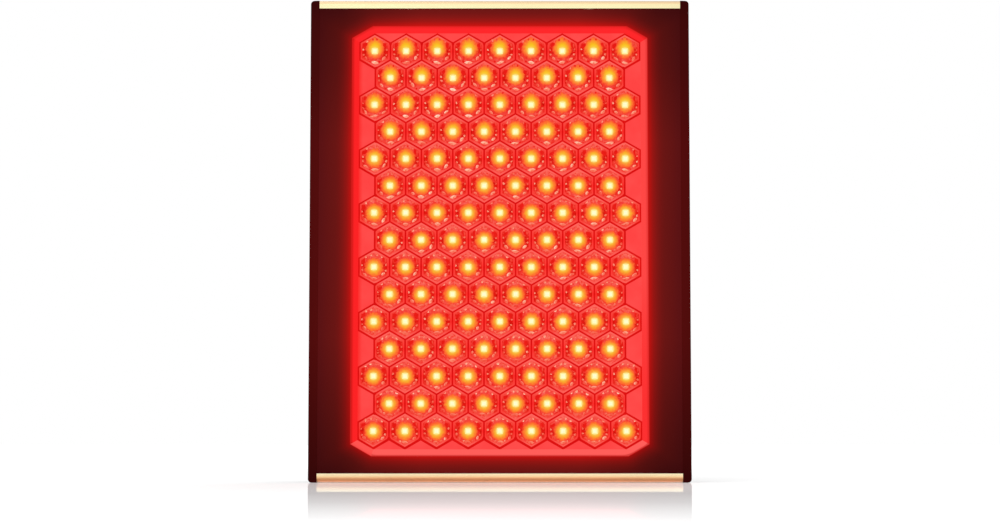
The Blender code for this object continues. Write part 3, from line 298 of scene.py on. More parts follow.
# painted shade and reflection: a ramp from each strip's outer end multiplies the brushed colour
paintedShades = []
for end, stops in ((-1, champagne["bottom"]), (1, champagne["top"])):
    rise = addNode(tree, "Math", [fromMiddle, end], operation="MULTIPLY")
    fromEnd = addNode(tree, "Math", [cadBox[1].z / 2, rise], operation="SUBTRACT")
    share = addNode(tree, "Math", [fromEnd, champagne["paintedShadeReach"] * mm], operation="DIVIDE")
    paintedShades.append(addNode(tree, "ValToRGB", [share], stops))
atTop = addNode(tree, "Math", [fromMiddle, 0.0], operation="GREATER_THAN")
paintedShade = addNode(tree, "Mix", {0: atTop, 6: paintedShades[0], 7: paintedShades[1]}, data_type="RGBA")
drawn = shader.inputs["Base Color"].links[0].from_socket
brushedAndShaded = addNode(tree, "Mix", {0: 1.0, 6: paintedShade.outputs[2], 7: drawn}, data_type="RGBA", blend_type="MULTIPLY")
feed(shader, {"Base Color": brushedAndShaded.outputs[2]})

# Clear acrylic, injection moulded and lit from behind by red LEDs: its glow is painted on as emission, most at each
# LED.
# Distances in the ramps are shares of glowReach, in millimetres from the glow's middle.
lensGlow = {
    "glowReach": 10.0,
    "liftSpan": (-0.25, 1.75),
    # above and below the glow's middle, where it isn't lifted and where it is most
    "stretch": [(1.0, 0.82), (1.04, 0.97)],
    "narrow": 1.05,
    "glow": [
        (0.00, "#FACC24"), (0.20, "#F8C422"), (0.32, "#F8AC26"), (0.40, "#FA962B"), (0.47, "#FC7E2F"),
        (0.54, "#FD692F"), (0.60, "#FA522A"), (0.68, "#EE361D"), (0.76, "#E01E10"),
    ],
    "glowEdge": (5.4, 7.2),  # mm between which the glow gives way to the bowl
    "bowl": [(0.0, "#C80A04"), (0.2, "#DC1A0E"), (0.5, "#F0342A"), (0.75, "#F44A40"), (1.0, "#FB6A5C")],
    "bowlSpan": (0.14, 0.64),  # where the bowl's painted light starts at the sides, and how far it runs towards top and bottom
    "mosaic": 1.3,  # mm, painted flats: patches of the bowl's wall each painted a little brighter or darker, as cut flats would catch the light
    "mosaicSpread": 0.45,
    "glowThrow": 0.45,  # mm that a painted flat throws the painted glow's edge in or out
    "throwSpan": (1.5, 4.5),
    # the rim's painted light, paler towards top and bottom and most at the top
    "rim": [(0.0, "#FB2C28"), (0.3, "#FC3C36"), (0.62, "#F9483F"), (0.82, "#FB5850"), (1.0, "#FE645B")],
    "upperRim": 0.08,  # how much more painted light the upper rims get
    "mottle": 0.35 / mm,
    # a painted halo round each LED package, and how strong it is by distance from the middle
    "halo": "#FEF8BC",
    "nearChip": [(0.0, 0.9), (0.17, 0.64), (0.21, 0.38), (0.26, 0.12), (0.32, 0.03), (0.45, 0.0)],
}
acrylicBase = {"Specular_IOR_Level": 0.02, "Base_Color": linearColour("#200000"), "Emission_Strength": 1.0}


def lensAcrylic(name, ramp, withGlow, spread):
    # paints the lens's glow on as emission, with painted light on the bowl's upper and lower walls and on its painted
    # flats
    tree, shader = startMaterial(name, Roughness=0.2, **acrylicBase)
    # mm from the lens's middle, and the glow's lift
    lensPlace = addNode(tree, "Attribute", attribute_name="lensPlace").outputs["Vector"]
    place = addNode(tree, "TexCoord").outputs["Object"]
    axes = addNode(tree, "SeparateXYZ", [lensPlace])
    y, lift = axes.outputs["Y"], axes.outputs["Z"]
    flat = addNode(tree, "CombineXYZ", [axes, y])
    reach = addNode(tree, "VectorMath", [flat], operation="LENGTH").outputs["Value"]
    slope = addNode(tree, "Math", [y, reach], operation="DIVIDE")
    steep = addNode(tree, "Math", [slope], operation="ABSOLUTE")
    lean = addNode(tree, "Math", [slope, lensGlow["upperRim"], steep], operation="MULTIPLY_ADD")
    mottle = addNode(tree, "TexNoise", {"Vector": place, "Scale": lensGlow["mottle"], "Detail": 2.0})
    varied = addNode(tree, "Math", [mottle, spread, lean], operation="MULTIPLY_ADD")
    level = addNode(tree, "Math", [varied, spread / 2], operation="SUBTRACT")
    if withGlow:
        mosaic = addNode(tree, "TexVoronoi", {"Vector": place, "Scale": 1 / (lensGlow["mosaic"] * mm)})
        paintedFlats = addNode(tree, "SeparateXYZ", [mosaic.outputs["Color"]])
        half = lensGlow["mosaicSpread"] / 2
        paintedFlatShare = addNode(tree, "MapRange", [paintedFlats, 0.0, 1.0, -half, half])
        low, span = lensGlow["bowlSpan"]
        spanned = addNode(tree, "Math", [level, span, low], operation="MULTIPLY_ADD")
        level = addNode(tree, "Math", [spanned, paintedFlatShare], operation="ADD")
    colour = addNode(tree, "ValToRGB", [level], ramp).outputs[0]
    if withGlow:
        lifted = addNode(tree, "Math", [y, lift], operation="SUBTRACT")
        # the glow is taller than wide, most of all where it is lifted
        stretches = [addNode(tree, "MapRange", [lift, *lensGlow["liftSpan"], *ends]) for ends in lensGlow["stretch"]]
        below = addNode(tree, "Math", [lifted, 0.0], operation="LESS_THAN")
        stretch = addNode(tree, "Mix", {0: below, 2: stretches[0], 3: stretches[1]})
        tall = addNode(tree, "Math", [lifted, stretch], operation="MULTIPLY")
        wide = addNode(tree, "Math", [axes, lensGlow["narrow"]], operation="MULTIPLY")
        fromGlow = addNode(tree, "CombineXYZ", [wide, tall])
        glowReach = addNode(tree, "VectorMath", [fromGlow], operation="LENGTH").outputs["Value"]
        # the painted flats throw the glow's edge a little in and out
        far = lensGlow["glowThrow"]
        thrown = addNode(tree, "MapRange", [paintedFlats.outputs["Y"], 0.0, 1.0, -far, far])
        spreadOut = addNode(tree, "MapRange", [glowReach, *lensGlow["throwSpan"]])
        glowReach = addNode(tree, "Math", [thrown, spreadOut, glowReach], operation="MULTIPLY_ADD")
        share, chipShare = (
            addNode(tree, "Math", [value, lensGlow["glowReach"]], operation="DIVIDE") for value in (glowReach, reach))
        glow = addNode(tree, "ValToRGB", [share], lensGlow["glow"])
        edge = addNode(tree, "MapRange", [glowReach, *lensGlow["glowEdge"]], interpolation_type="SMOOTHSTEP")
        mixed = addNode(tree, "Mix", {0: edge, 6: glow, 7: colour}, data_type="RGBA").outputs[2]
        nearChip = addNode(tree, "ValToRGB", [chipShare], lensGlow["nearChip"])
        halo = linearColour(lensGlow["halo"])
        colour = addNode(tree, "Mix", {0: nearChip, 6: mixed, 7: halo}, data_type="RGBA").outputs[2]
    ripple = addNode(tree, "Bump", {"Strength": 0.1, "Distance": 0.05 * mm, "Height": mottle})
    feed(shader, {"Emission Color": colour, "Normal": ripple})


def litPlastic(name, darkHex, lightHex, patchSize):
    # moulded plastic lit through from behind: its glow is painted on as emission and drifts a little from place to
    # place
    tree, shader = startMaterial(name, Roughness=0.3, **acrylicBase)
    place = addNode(tree, "TexCoord").outputs["Object"]
    patches = addNode(tree, "TexNoise", {"Vector": place, "Scale": 1 / (patchSize * mm), "Detail": 2.0})
    colour = addNode(tree, "ValToRGB", [patches], [(0.35, darkHex), (0.65, lightHex)])
    feed(shader, {"Emission Color": colour})
    return tree, shader, place, colour


lensAcrylic("moulded acrylic bowl, lit", lensGlow["bowl"], True, 0.25)
lensAcrylic("moulded acrylic rim, lit", lensGlow["rim"], False, 0.2)
for name, darkHex, lightHex, patchSize in (
    # the grooves between the lenses: painted glow, dimmer than the rims as painted shade in the recess
    ("moulded acrylic groove, lit", "#D80C0C", "#E01210", 6),
    ("LED package window, lit", "#FDFBC4", "#FFFED2", 1.5),
    ("phosphor round the LED window, lit", "#FDF094", "#FEF6A8", 1.5),
    ("LED segments, lit", "#F0180E", "#FF3A2A", 2.0),  # they glow red under the smoked window
):
    litPlastic(name, darkHex, lightHex, patchSize)

# painted shade: the sheet's glow between the lenses darkens towards the window's left edge
sheetEdgeShade = {"reach": 2.6 * mm, "share": 0.85, "colour": "#FB2624"}
tree, shader, place, colour = litPlastic("frosted acrylic sheet, lit", "#FD4443", "#FF4C4A", 12)
axes = addNode(tree, "SeparateXYZ", [place])
atLeft = addNode(
    tree, "MapRange", [axes, sheetEdgeShade["reach"] - fieldWidth / 2, -fieldWidth / 2, 0.0, sheetEdgeShade["share"]])
edgeShaded = addNode(tree, "Mix", {0: atLeft, 6: colour, 7: linearColour(sheetEdgeShade["colour"])}, data_type="RGBA")
feed(shader, {"Emission Color": edgeShaded.outputs[2]})

# Facets moulded round each bowl: each carries a painted glint, its sides painted bright on one side and dark on the
# other.
tree, shader = startMaterial("moulded acrylic facets, lit", Roughness=0.1, **acrylicBase)
spark = addNode(tree, "Attribute", attribute_name="spark").outputs["Fac"]
sparkStops = [(0.0, "#DC0C08"), (0.2, "#EE2018"), (0.45, "#F87058"), (0.7, "#FDAC8E"), (1.0, "#FFDFC4")]
feed(shader, {"Emission Color": addNode(tree, "ValToRGB", [spark], sparkStops)})

# Polycarbonate bezel ring, moulded: its red glow is painted on as emission, with painted light where it faces up and
# to the left and painted shade towards the window's edge.
bezelGlow = {
    "upward": 1.9, "leftward": -0.5, "start": 0.35,
    "paler": (0.05, 0.13, -0.13, 0.12),  # painted light: the right side is paler in its upper two thirds
    "rightFacing": -0.15,
    "stops": [(0.0, "#FE2629"), (0.2, "#FB2022"), (0.5, "#FC3A39"), (0.9, "#FF605B"), (1.0, "#FF605B")],
    "shade": "#B4100C",
    "shadeSpan": (-1.9, 0.0, 0.0, 0.95),  # painted shade, in mm from the window's edge
    "shadeSide": (0.2, 0.55, 1.0, 0.25),
    "rightShade": 0.55,
    "topShade": (-0.3, -0.15, 0.35, 1.0),  # the upper side gets less painted shade
    "lastStrip": (-1.15, -0.75, 0.0, 0.95),  # the lower side's painted light reaches right up to its last millimetre, where painted shade takes over
    "lowSide": (0.75, 0.95),
}
tree, shader = startMaterial("moulded polycarbonate bezel, lit", Roughness=0.25, **acrylicBase)
sides = addNode(tree, "SeparateXYZ", [addNode(tree, "NewGeometry").outputs["Normal"]])
distance, axes = windowDistance(tree)[:2]
# painted light by which way each face turns: faces turned up and to the left are paler
upward = addNode(tree, "Math", [sides.outputs["Z"], bezelGlow["upward"]], operation="MULTIPLY")
facing = addNode(tree, "Math", [sides, bezelGlow["leftward"], upward], operation="MULTIPLY_ADD")
paler = addNode(tree, "MapRange", [axes.outputs["Z"], *bezelGlow["paler"]])
rightSide = addNode(tree, "Math", [sides, bezelGlow["rightFacing"]], operation="LESS_THAN")
facing = addNode(tree, "Math", [paler, rightSide, facing], operation="MULTIPLY_ADD")
share = addNode(tree, "Math", [facing, bezelGlow["start"]], operation="ADD", use_clamp=True)
inShade = addNode(tree, "MapRange", [distance, *bezelGlow["shadeSpan"]])
shadeSide = addNode(tree, "MapRange", [share, *bezelGlow["shadeSide"]])
rightShade = addNode(tree, "Math", [rightSide, bezelGlow["rightShade"]], operation="MULTIPLY")
shadeSide = addNode(tree, "Math", [shadeSide, rightShade], operation="MAXIMUM")
topShade = addNode(tree, "MapRange", [sides.outputs["Z"], *bezelGlow["topShade"]])
shade = addNode(tree, "Math", [inShade, shadeSide], operation="MULTIPLY")
shade = addNode(tree, "Math", [shade, topShade], operation="MULTIPLY")
lastStrip = addNode(tree, "MapRange", [distance, *bezelGlow["lastStrip"]])
lowSide = addNode(tree, "MapRange", [share, *bezelGlow["lowSide"]])
lowShade = addNode(tree, "Math", [lastStrip, lowSide], operation="MULTIPLY")
shade = addNode(tree, "Math", [shade, lowShade], operation="MAXIMUM")
colour = addNode(tree, "ValToRGB", [share], bezelGlow["stops"])
shaded = addNode(tree, "Mix", {0: shade, 6: colour, 7: linearColour(bezelGlow["shade"])}, data_type="RGBA")
feed(shader, {"Emission Color": shaded.outputs[2]})

# The other finishes: grain's stretch, grain and cloud in mm, colours, roughness, bump, its depth in mm, own values.
finishes = {
    # moulded, dead matt, greys slightly where it is handled
    "moulded silicone rubber":
        ((1, 1, 1), 0.4, 12, ("#131314", "#202021"), (0.75, 0.9), 0.3, 0.05, {"Specular_IOR_Level": 0.3}),
    # fine-textured powder on sheet steel: tiny pebbles, drawn at 0.8 mm to show, that break up every highlight
    "powder coated steel": ((1, 1, 1), 0.8, 30, ("#0B0B0C", "#2E2E32"), (0.4, 0.66), 1.0, 0.3, {}),
    # spark-eroded texture: matt, faintly pebbled
    "moulded ABS": ((1, 1, 1), 0.4, 15, ("#0F0F10", "#272729"), (0.36, 0.54), 0.6, 0.08, {}),
    # grey with lengthwise draw lines
    "mill finish aluminium":
        ((1, 1, 0.03), 0.3, 25, ("#9A9CA0", "#B9BBBF"), (0.3, 0.45), 0.25, 0.02, {"Metallic": 1.0}),
    # bright, slightly cloudy, with a faint blue passivation
    "zinc plated steel": ((1, 1, 1), 0.2, 3, ("#A9ACB0", "#C6C8CC"), (0.22, 0.36), 0.1, 0.01, {"Metallic": 1.0}),
    # warm grey, brightest where the plug has rubbed it
    "nickel plated brass": ((1, 0.1, 1), 0.25, 3, ("#B9B4A8", "#D2CEC4"), (0.18, 0.3), 0.08, 0.01, {"Metallic": 1.0}),
    # thin, slightly chalky white with soft edges to its cover
    "pad printed ink": ((1, 1, 1), 0.2, 1.5, ("#C9CBCC", "#E2E4E4"), (0.5, 0.65), 0.1, 0.01, {}),
    # the segments that are off show as dull red bars
    "LED segments, unlit": ((1, 1, 1), 0.3, 2, ("#1C0808", "#260C0B"), (0.15, 0.25), 0.05, 0.01, {}),
    # over an aluminium core: smooth, semi-gloss, with a hint of the tracks below
    "white solder mask": ((1, 1, 1), 0.8, 9, ("#DADAD4", "#EDEDE8"), (0.3, 0.42), 0.08, 0.02, {}),
    # on glass-fibre board: the weave shows through as fine mottling
    "green solder mask": ((1, 1, 1), 0.6, 8, ("#0C4A22", "#146A33"), (0.28, 0.4), 0.15, 0.02, {}),
    # soft grey, floury
    "thermal silicone sheet": ((1, 1, 1), 0.7, 14, ("#8E9196", "#A2A5A9"), (0.75, 0.88), 0.25, 0.05, {}),
    # smooth and slightly waxy
    "extruded PVC sheath": ((1, 1, 1), 0.9, 10, ("#171718", "#232324"), (0.35, 0.5), 0.12, 0.03, {}),
    # cast: near black and glossy, with a few fine rub marks
    "smoked acrylic": ((1, 1, 0.2), 0.8, 12, ("#060607", "#0B0B0D"), (0.05, 0.14), 0.03, 0.01, {}),
}
for name, (*look, values) in finishes.items():
    look = dict(zip(("stretch", "grain", "cloud", "colours", "rough", "bump", "depth"), look))
    wear(*startMaterial(name, **values), look)
print("finishes: made", len(bpy.data.materials))

# Face plate: a flat sheet with eased edges round the eight-sided window.
frontFace = {
    "edge": 0.25 * mm,
    "cornerCut": 0.4 * mm,
    "overTop": 0.4 * mm,  # the face plate laps over the top strip's inner edge by this much
    "overBottom": 0.32 * mm,  # and stops this much short at the bottom strip, which reaches up to it
    "overSides": 0.25 * mm,
}
edge = frontFace["edge"]
plateLow, plateHigh = faceLow.z + frontFace["overBottom"], faceHigh.z + frontFace["overTop"]
plateSide = faceHigh.x + frontFace["overSides"]


def plateOutline(inset):
    # the plate's eight corners, in the window outline's order
    halfX, halfZ = plateSide - inset, (plateHigh - plateLow) / 2 - inset
    cut = frontFace["cornerCut"]
    return fourfold([(halfX, halfZ - cut), (halfX - cut, halfZ)], 0, (plateLow + plateHigh) / 2)


plateRings = [(edge, plateOutline(0)), (0, plateOutline(edge)), (0, windowOutline(bezelWidth + edge))]
plateRings += [(edge, windowOutline(bezelWidth)), (faceHigh.y - faceLow.y, windowOutline(bezelWidth))]
plateRings += [(faceHigh.y - faceLow.y, plateOutline(0))]
plateShape = ringSolid([(faceLow.y + depth, outline) for depth, outline in plateRings])
newPiece("front_face", plateShape, "satin lacquered steel", "front_frame")

bezel = {"land": 0.3 * mm, "lip": 0.3 * mm, "gap": 0.05 * mm}
land = bezelWidth - bezel["gap"]
bezelRings = [(bezelLow.y, land), (bezelLow.y, land - bezel["land"]), (bezelHigh.y - bezel["lip"], 0)]
bezelRings += [(bezelHigh.y, 0), (bezelHigh.y, land)]
bezelShape = ringSolid([(y, windowOutline(grow)) for y, grow in bezelRings])
newPiece("bezel_ring", bezelShape, "moulded polycarbonate bezel, lit", "window_bezel")


def addBlock(bm, low, high):
    low, high = Vector(low), Vector(high)
    size = (high - low).to_4d()
    size.w = 1
    bmesh.ops.create_cube(bm, size=1, matrix=Matrix.Translation((low + high) / 2) @ Matrix.Diagonal(size))
    return bm


def roundEdges(bm, chosen, radius, segments):
    # rounds the edges that a test of the edge and its two ends chooses
    edges = [edge for edge in bm.edges if chosen(edge, *(vert.co for vert in edge.verts))]
    bmesh.ops.bevel(bm, geom=edges, offset=radius, segments=segments, profile=0.5, affect="EDGES")


# Side rails: a rounded outer web with two inward flanges, behind the face and before the cover.
rail = {"endRound": 2.2 * mm, "sideRound": 0.6 * mm, "flange": 3.0 * mm, "gap": 0.3 * mm, "segments": 5}
web = faceHigh.x + rail["gap"]
for side, name in ((-1, "left"), (1, "right")):
    low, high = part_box("side_rail_" + name)
    inner, outer = (high.x, low.x) if side < 0 else (low.x, high.x)
    bm = addBlock(bmesh.new(), (min(side * web, outer), low.y, low.z), (max(side * web, outer), high.y, high.z))

    def atEnd(edge, a, b):
        return max(abs(a.x - outer), abs(b.x - outer)) < mm and abs(a.z - b.z) < mm

    def outside(edge, a, b):
        sharp = len(edge.link_faces) == 2 and edge.calc_face_angle() > math.radians(60)
        return sharp and min(side * a.x, side * b.x) > web + mm

    roundEdges(bm, atEnd, rail["endRound"], rail["segments"])
    roundEdges(bm, outside, rail["sideRound"], rail["segments"])
    reach = side * (web + mm)
    for y in (faceHigh.y + rail["gap"], coverLow.y - rail["gap"] - rail["flange"]):
        addBlock(bm, (min(inner, reach), y, faceLow.z), (max(inner, reach), y + rail["flange"], faceHigh.z))
    looks = ["black anodised aluminium", "black anodised extrusion, painted red halo"]
    piece = newPiece("rail_" + name, bm, looks, "side_rail_" + name, smooth=40)
    # faces turned to the front take the darker copy with the painted red halo
    for polygon in piece.data.polygons:
        polygon.material_index = 1 if polygon.normal.y < -0.3 else 0

# Gold end strips, rounded on their outer front edge.
trim = {
    "round": {"top": 0.9 * mm, "bottom": 3.4 * mm},
    "segments": 8,
    "shy": 0.05 * mm,  # how far the strips stop short of the rails' ends
    "shorter": {"top": 0.4 * mm, "bottom": -0.32 * mm},  # where the face plate laps over
}
for name, outward in (("top", 1), ("bottom", -1)):
    low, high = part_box("trim_strip_" + name)
    if outward > 0:
        low.z, high.z = low.z + trim["shorter"][name], railHigh.z - trim["shy"]
    else:
        low.z, high.z = railLow.z + trim["shy"], high.z - trim["shorter"][name]
    low.x, high.x = -plateSide, plateSide
    corner = Vector((0, low.y, high.z if outward > 0 else low.z))

    def atCorner(edge, a, b):
        return all(max(abs(end.z - corner.z), abs(end.y - corner.y)) < mm / 2 for end in (a, b))

    bm = addBlock(bmesh.new(), low, high)
    roundEdges(bm, atCorner, trim["round"][name], trim["segments"])
    newPiece("gold_strip_" + name, bm, "champagne anodised aluminium", "trim_strip_" + name, smooth=40)
print("front: face, bezel, rails and strips")

# Lenses: hexagonal cells with a round bowl, a dome and the LED package's window on its crown.
lensShape = {
    "sides": 36,
    # how each ring lies: apothem or radius in mm, share of roundness, mm behind the front plane, finish
    "rings": [
        (10.0, 0.0, 6.4, "groove"), (10.0, 0.0, 2.35, "groove"), (9.62, 0.0, 2.35, "groove"),
        (9.48, 0.0, 1.10, "groove"), (9.36, 0.0, 0.84, "rim"), (9.22, 0.0, 0.80, "rim"),
        (8.52, 0.03, 0.80, "rim"), (8.40, 0.05, 0.92, "bowl"), (8.10, 0.25, 1.80, "bowl"),
        (7.50, 0.7, 2.70, "bowl"), (6.70, 1.0, 3.15, "bowl"), (5.70, 1.0, 3.10, "bowl"),
        (5.05, 1.0, 2.60, "bowl"), (4.20, 1.0, 1.70, "bowl"), (3.30, 1.0, 1.22, "bowl"),
        (2.60, 1.0, 1.08, "bowl"), (2.15, 1.0, 1.05, "bowl"),
    ],
    "edgePull": 0.5,  # mm that a side with no lens beside it stands in from the cell's edge
    "lowPull": 0.8,  # mm, the same for the bottom row's lower sides
    "pullSpan": (6.0, 9.0),  # mm, the apothems between which the pull grows from nothing to all
    "cellSide": 9.9,  # mm, apothem from which rings lie on the cell's own edge and aren't pulled
    "lift": (-0.25, 2.0, 1.4),  # painted glow's rise in mm at the middle rows, added at the top row, and how it grows
    "chip": [(1.85, 1.10), (1.85, 0.98), (1.2, 0.90)],  # half side and mm behind the front plane
}
lensFinishes = {
    "groove": "moulded acrylic groove, lit",
    "rim": "moulded acrylic rim, lit",
    "bowl": "moulded acrylic bowl, lit",
    "chipEdge": "phosphor round the LED window, lit",
    "chip": "LED package window, lit",
}


def lensPlaces():
    for row in range(lensField["rows"]):
        count = lensField["columns"] - row % 2
        z = middleZ + (row - (lensField["rows"] - 1) / 2) * rowStep
        for column in range(count):
            yield (column - (count - 1) / 2) * pitch, z


def cellKey(x, z):
    return round(x / mm), round(z / mm)


lensCells = {cellKey(x, z) for x, z in lensPlaces()}


def rowShare(z):
    # -1 at the bottom row, 1 at the top row
    return (z - middleZ) / ((lensField["rows"] - 1) / 2 * rowStep)


def cellPulls(x, z):
    # for each side of a cell, how far its groove reaches in: nothing where another lens stands beside it
    pulls = []
    for side in range(6):
        angle = side * math.pi / 3
        alone = cellKey(x + pitch * math.cos(angle), z + pitch * math.sin(angle)) not in lensCells
        low = side > 3 and rowShare(z) < -0.99
        pulls.append(lensShape["lowPull" if low else "edgePull"] if alone else 0.0)
    return pulls


def ringReach(ring, angle, pulls):
    # how far out a ring lies in a direction, in mm: part circle, part hexagon with sides at their own distances
    size, roundness = ring[:2]
    low, high = lensShape["pullSpan"]
    share = 0.0 if size > lensShape["cellSide"] else min(1.0, max(0.0, (size - low) / (high - low)))
    facings = [(pull, math.cos(angle - side * math.pi / 3)) for side, pull in enumerate(pulls)]
    hexagon = [(size - pull * share) / facing for pull, facing in facings if facing > 0.3]
    return size * roundness + (1 - roundness) * min(hexagon)


verts, faces, faceFinish, places = [], [], [], []
sides, rings = lensShape["sides"], lensShape["rings"]
base, more, power = lensShape["lift"]
for x, z in lensPlaces():
    lift = base + more * max(0.0, rowShare(z)) ** power
    pulls = cellPulls(x, z)
    first, spots = len(verts), []
    for ring in rings:
        for angle in (2 * math.pi * step / sides for step in range(sides)):
            reach = ringReach(ring, angle, pulls)
            spots.append((reach * math.cos(angle), reach * math.sin(angle), ring[2]))
    for level, ring in enumerate(rings[1:]):
        faces += stitch(first + level * sides, first + (level + 1) * sides, sides)
        faceFinish += [ring[3]] * sides
    last, corner = first + len(spots) - sides, first + len(spots)
    faces += [tuple(range(first, first + sides)), tuple(range(last, corner))]
    faceFinish += ["groove", "bowl"]
    # the LED package's square window, seated on the dome's crown
    for half, depth in lensShape["chip"]:
        spots += [(sx * half, sz * half, depth) for sx, sz in ((-1, -1), (1, -1), (1, 1), (-1, 1))]
    faces += stitch(corner, corner + 4, 4) + stitch(corner + 4, corner + 8, 4)
    faces += [tuple(range(corner, corner + 4)), tuple(range(corner + 8, corner + 12))]
    faceFinish += ["chipEdge"] * 9 + ["chip"]
    verts += [(x + dx * mm, frontY + depth * mm, z + dz * mm) for dx, dz, depth in spots]
    places += [value for dx, dz, _ in spots for value in (dx, dz, lift)]
lensPiece = newPiece("lens_field", (verts, faces), list(lensFinishes.values()), "lens_array", smooth=35)
order = list(lensFinishes)
lensPiece.data.polygons.foreach_set("material_index", [order.index(finish) for finish in faceFinish])
lensPiece.data.attributes.new("lensPlace", "FLOAT_VECTOR", "POINT").data.foreach_set("vector", places)


def honeycombEdge():
    # the outline of all the lenses together: the hexagon edges that only one lens has
    uses = {}
    for x, z in lensPlaces():
        angles = [math.pi / 6 + step * math.pi / 3 for step in range(6)]
        corners = [(x + cornerRadius * math.cos(angle), z + cornerRadius * math.sin(angle)) for angle in angles]
        for ends in zip(corners, corners[1:] + corners[:1]):
            keys = tuple(tuple(round(value / mm, 2) for value in point) for point in ends)
            uses.setdefault(frozenset(keys), []).append(keys)
    follow = dict(keys[0] for keys in uses.values() if len(keys) == 1)
    start = next(iter(follow))
    loop, point = [start], follow[start]
    while point != start:
        loop.append(point)
        point = follow[point]
    return [(x * mm, z * mm) for x, z in loop]


def offsetLoop(loop, reach):
    # moves a closed outline outwards by the same distance all round
    turning = sum(a[0] * b[1] - b[0] * a[1] for a, b in zip(loop, loop[1:] + loop[:1]))
    outward = 1 if turning > 0 else -1
    moved = []
    for before, point, after in zip(loop[-1:] + loop[:-1], loop, loop[1:] + loop[:1]):
        normals = []
        for a, b in ((before, point), (point, after)):
            along = Vector((b[0] - a[0], b[1] - a[1])).normalized()
            normals.append(Vector((along.y, -along.x)) * outward)
        lean = (normals[0] + normals[1]) / (1 + normals[0].dot(normals[1]))
        moved.append((point[0] + lean.x * reach, point[1] + lean.y * reach))
    return moved


def capFaces(loops, first=0):
    # triangles that fill an outline with holes
    return [tuple(first + corner for corner in triangle)
            for triangle in tessellate_polygon([[Vector((a, b, 0)) for a, b in loop] for loop in loops])]


# Base sheet round the lenses, with a fine channel along the honeycomb's edge.
sheet = {"channel": 0.2 * mm, "channelDepth": 0.4 * mm}
lensEdge = honeycombEdge()
sheetOuter, sheetInner = windowOutline(lensField["tuck"]), offsetLoop(lensEdge, sheet["channel"])
baseY, backY = frontY + lensField["sheetDepth"], lensHigh.y
verts, faces = [], []
for y in (baseY, backY):
    faces += capFaces((sheetOuter, sheetInner), len(verts))
    verts += [(x, y, z) for x, z in sheetOuter + sheetInner]
outerCount, layer = len(sheetOuter), len(sheetOuter) + len(sheetInner)
faces += stitch(0, layer, outerCount) + stitch(outerCount, layer + outerCount, len(sheetInner))
newPiece("lens_base_sheet", (verts, faces), "frosted acrylic sheet, lit", "lens_array")
channelRings = [(baseY + sheet["channelDepth"], sheetInner), (baseY + sheet["channelDepth"], lensEdge)]
channelShape = ringSolid(channelRings + [(backY, lensEdge), (backY, sheetInner)])
newPiece("lens_channel", channelShape, lensFinishes["groove"], "lens_array")

facets = {
    "proud": 0.75,  # mm that a facet's peak stands off the bowl
    "sunk": 0.12,  # mm that its foot lies under the surface
    # angle, radius, length round the ring, width in mm, and painted glint brightness at the top and bottom rows
    "ring": [
        (-90, 7.2, 5.2, 2.1, 0.9, 0.55), (-64, 7.3, 2.0, 1.6, 0.28, 0.62), (-116, 7.3, 2.0, 1.6, 0.25, 0.62),
        (-38, 7.4, 3.6, 1.9, 0.85, 0.65), (-142, 7.4, 3.6, 1.9, 0.64, 0.45), (-15, 7.8, 1.7, 1.5, 0.7, 0.64),
        (-165, 7.8, 1.7, 1.5, 0.6, 0.52), (-1, 7.4, 2.2, 1.8, 0.13, 0.13), (181, 7.4, 2.2, 1.8, 0.13, 0.13),
        (9, 8.0, 1.7, 1.5, 0.52, 0.52), (171, 8.0, 1.7, 1.5, 0.72, 0.64), (32, 7.6, 4.4, 2.4, 0.21, 0.21),
        (148, 7.6, 4.4, 2.4, 0.18, 0.18), (52, 8.3, 2.2, 1.5, 0.38, 0.85), (128, 8.3, 2.2, 1.5, 0.55, 0.82),
        (78, 8.0, 1.8, 1.5, 0.3, 0.68), (102, 8.0, 1.8, 1.5, 0.36, 0.82),
    ],
    "tones": (0.85, 1.0, 0.9, 0.75, 0.6, 0.7),  # how bright each of its six sides is painted
    "foot": 0.3,
}


def bowlDepth(point, pulls):
    # how far behind the front plane the bowl's wall lies there, in mm
    walls = [ring for ring in rings if ring[3] == "bowl"]
    reaches = [ringReach(ring, math.atan2(point.y, point.x), pulls) for ring in walls]
    for place in range(len(walls) - 1):
        if reaches[place + 1] <= point.length <= reaches[place]:
            share = (reaches[place] - point.length) / (reaches[place] - reaches[place + 1])
            return walls[place][2] + share * (walls[place + 1][2] - walls[place][2])
    return walls[0][2]


verts, faces, sparks = [], [], []
for x, z in lensPlaces():
    share = (rowShare(z) + 1) / 2
    pulls = cellPulls(x, z)
    for angle, radius, length, width, topLight, bottomLight in facets["ring"]:
        light = (bottomLight + (topLight - bottomLight) * share) * draws.uniform(0.7, 1.2)
        turn = math.radians(angle + draws.uniform(-4, 4))
        lie = turn + math.pi / 2 + math.radians(draws.uniform(-14, 14))
        reach = radius + draws.uniform(-0.25, 0.15)
        long, wide = length / 2 * draws.uniform(0.75, 1.15), width / 2 * draws.uniform(0.8, 1.15)
        out = Vector((math.cos(turn), math.sin(turn)))
        centre = out * reach
        along, inward, lean = Vector((math.cos(lie), math.sin(lie))) * long, -out * wide, 0.35
        first = len(verts)
        ends = [along, inward + along * lean, inward - along * lean]
        spots = [(centre + end, facets["sunk"]) for end in ends + [-end for end in ends]]
        for place, sunk in spots + [(centre + inward * 0.3, -facets["proud"])]:
            depth = bowlDepth(place, pulls) + sunk
            verts.append((x + place.x * mm, frontY + depth * mm, z + place.y * mm))
        for step, tone in enumerate(facets["tones"]):
            faces.append((first + step, first + (step + 1) % 6, first + 6))
            sparks.append(min(1.0, light * tone * draws.uniform(0.8, 1.15)))
        faces.append(tuple(range(first, first + 6)))
        sparks.append(facets["foot"])
facetPiece = newPiece("lens_facets", (verts, faces), "moulded acrylic facets, lit", "lens_array")
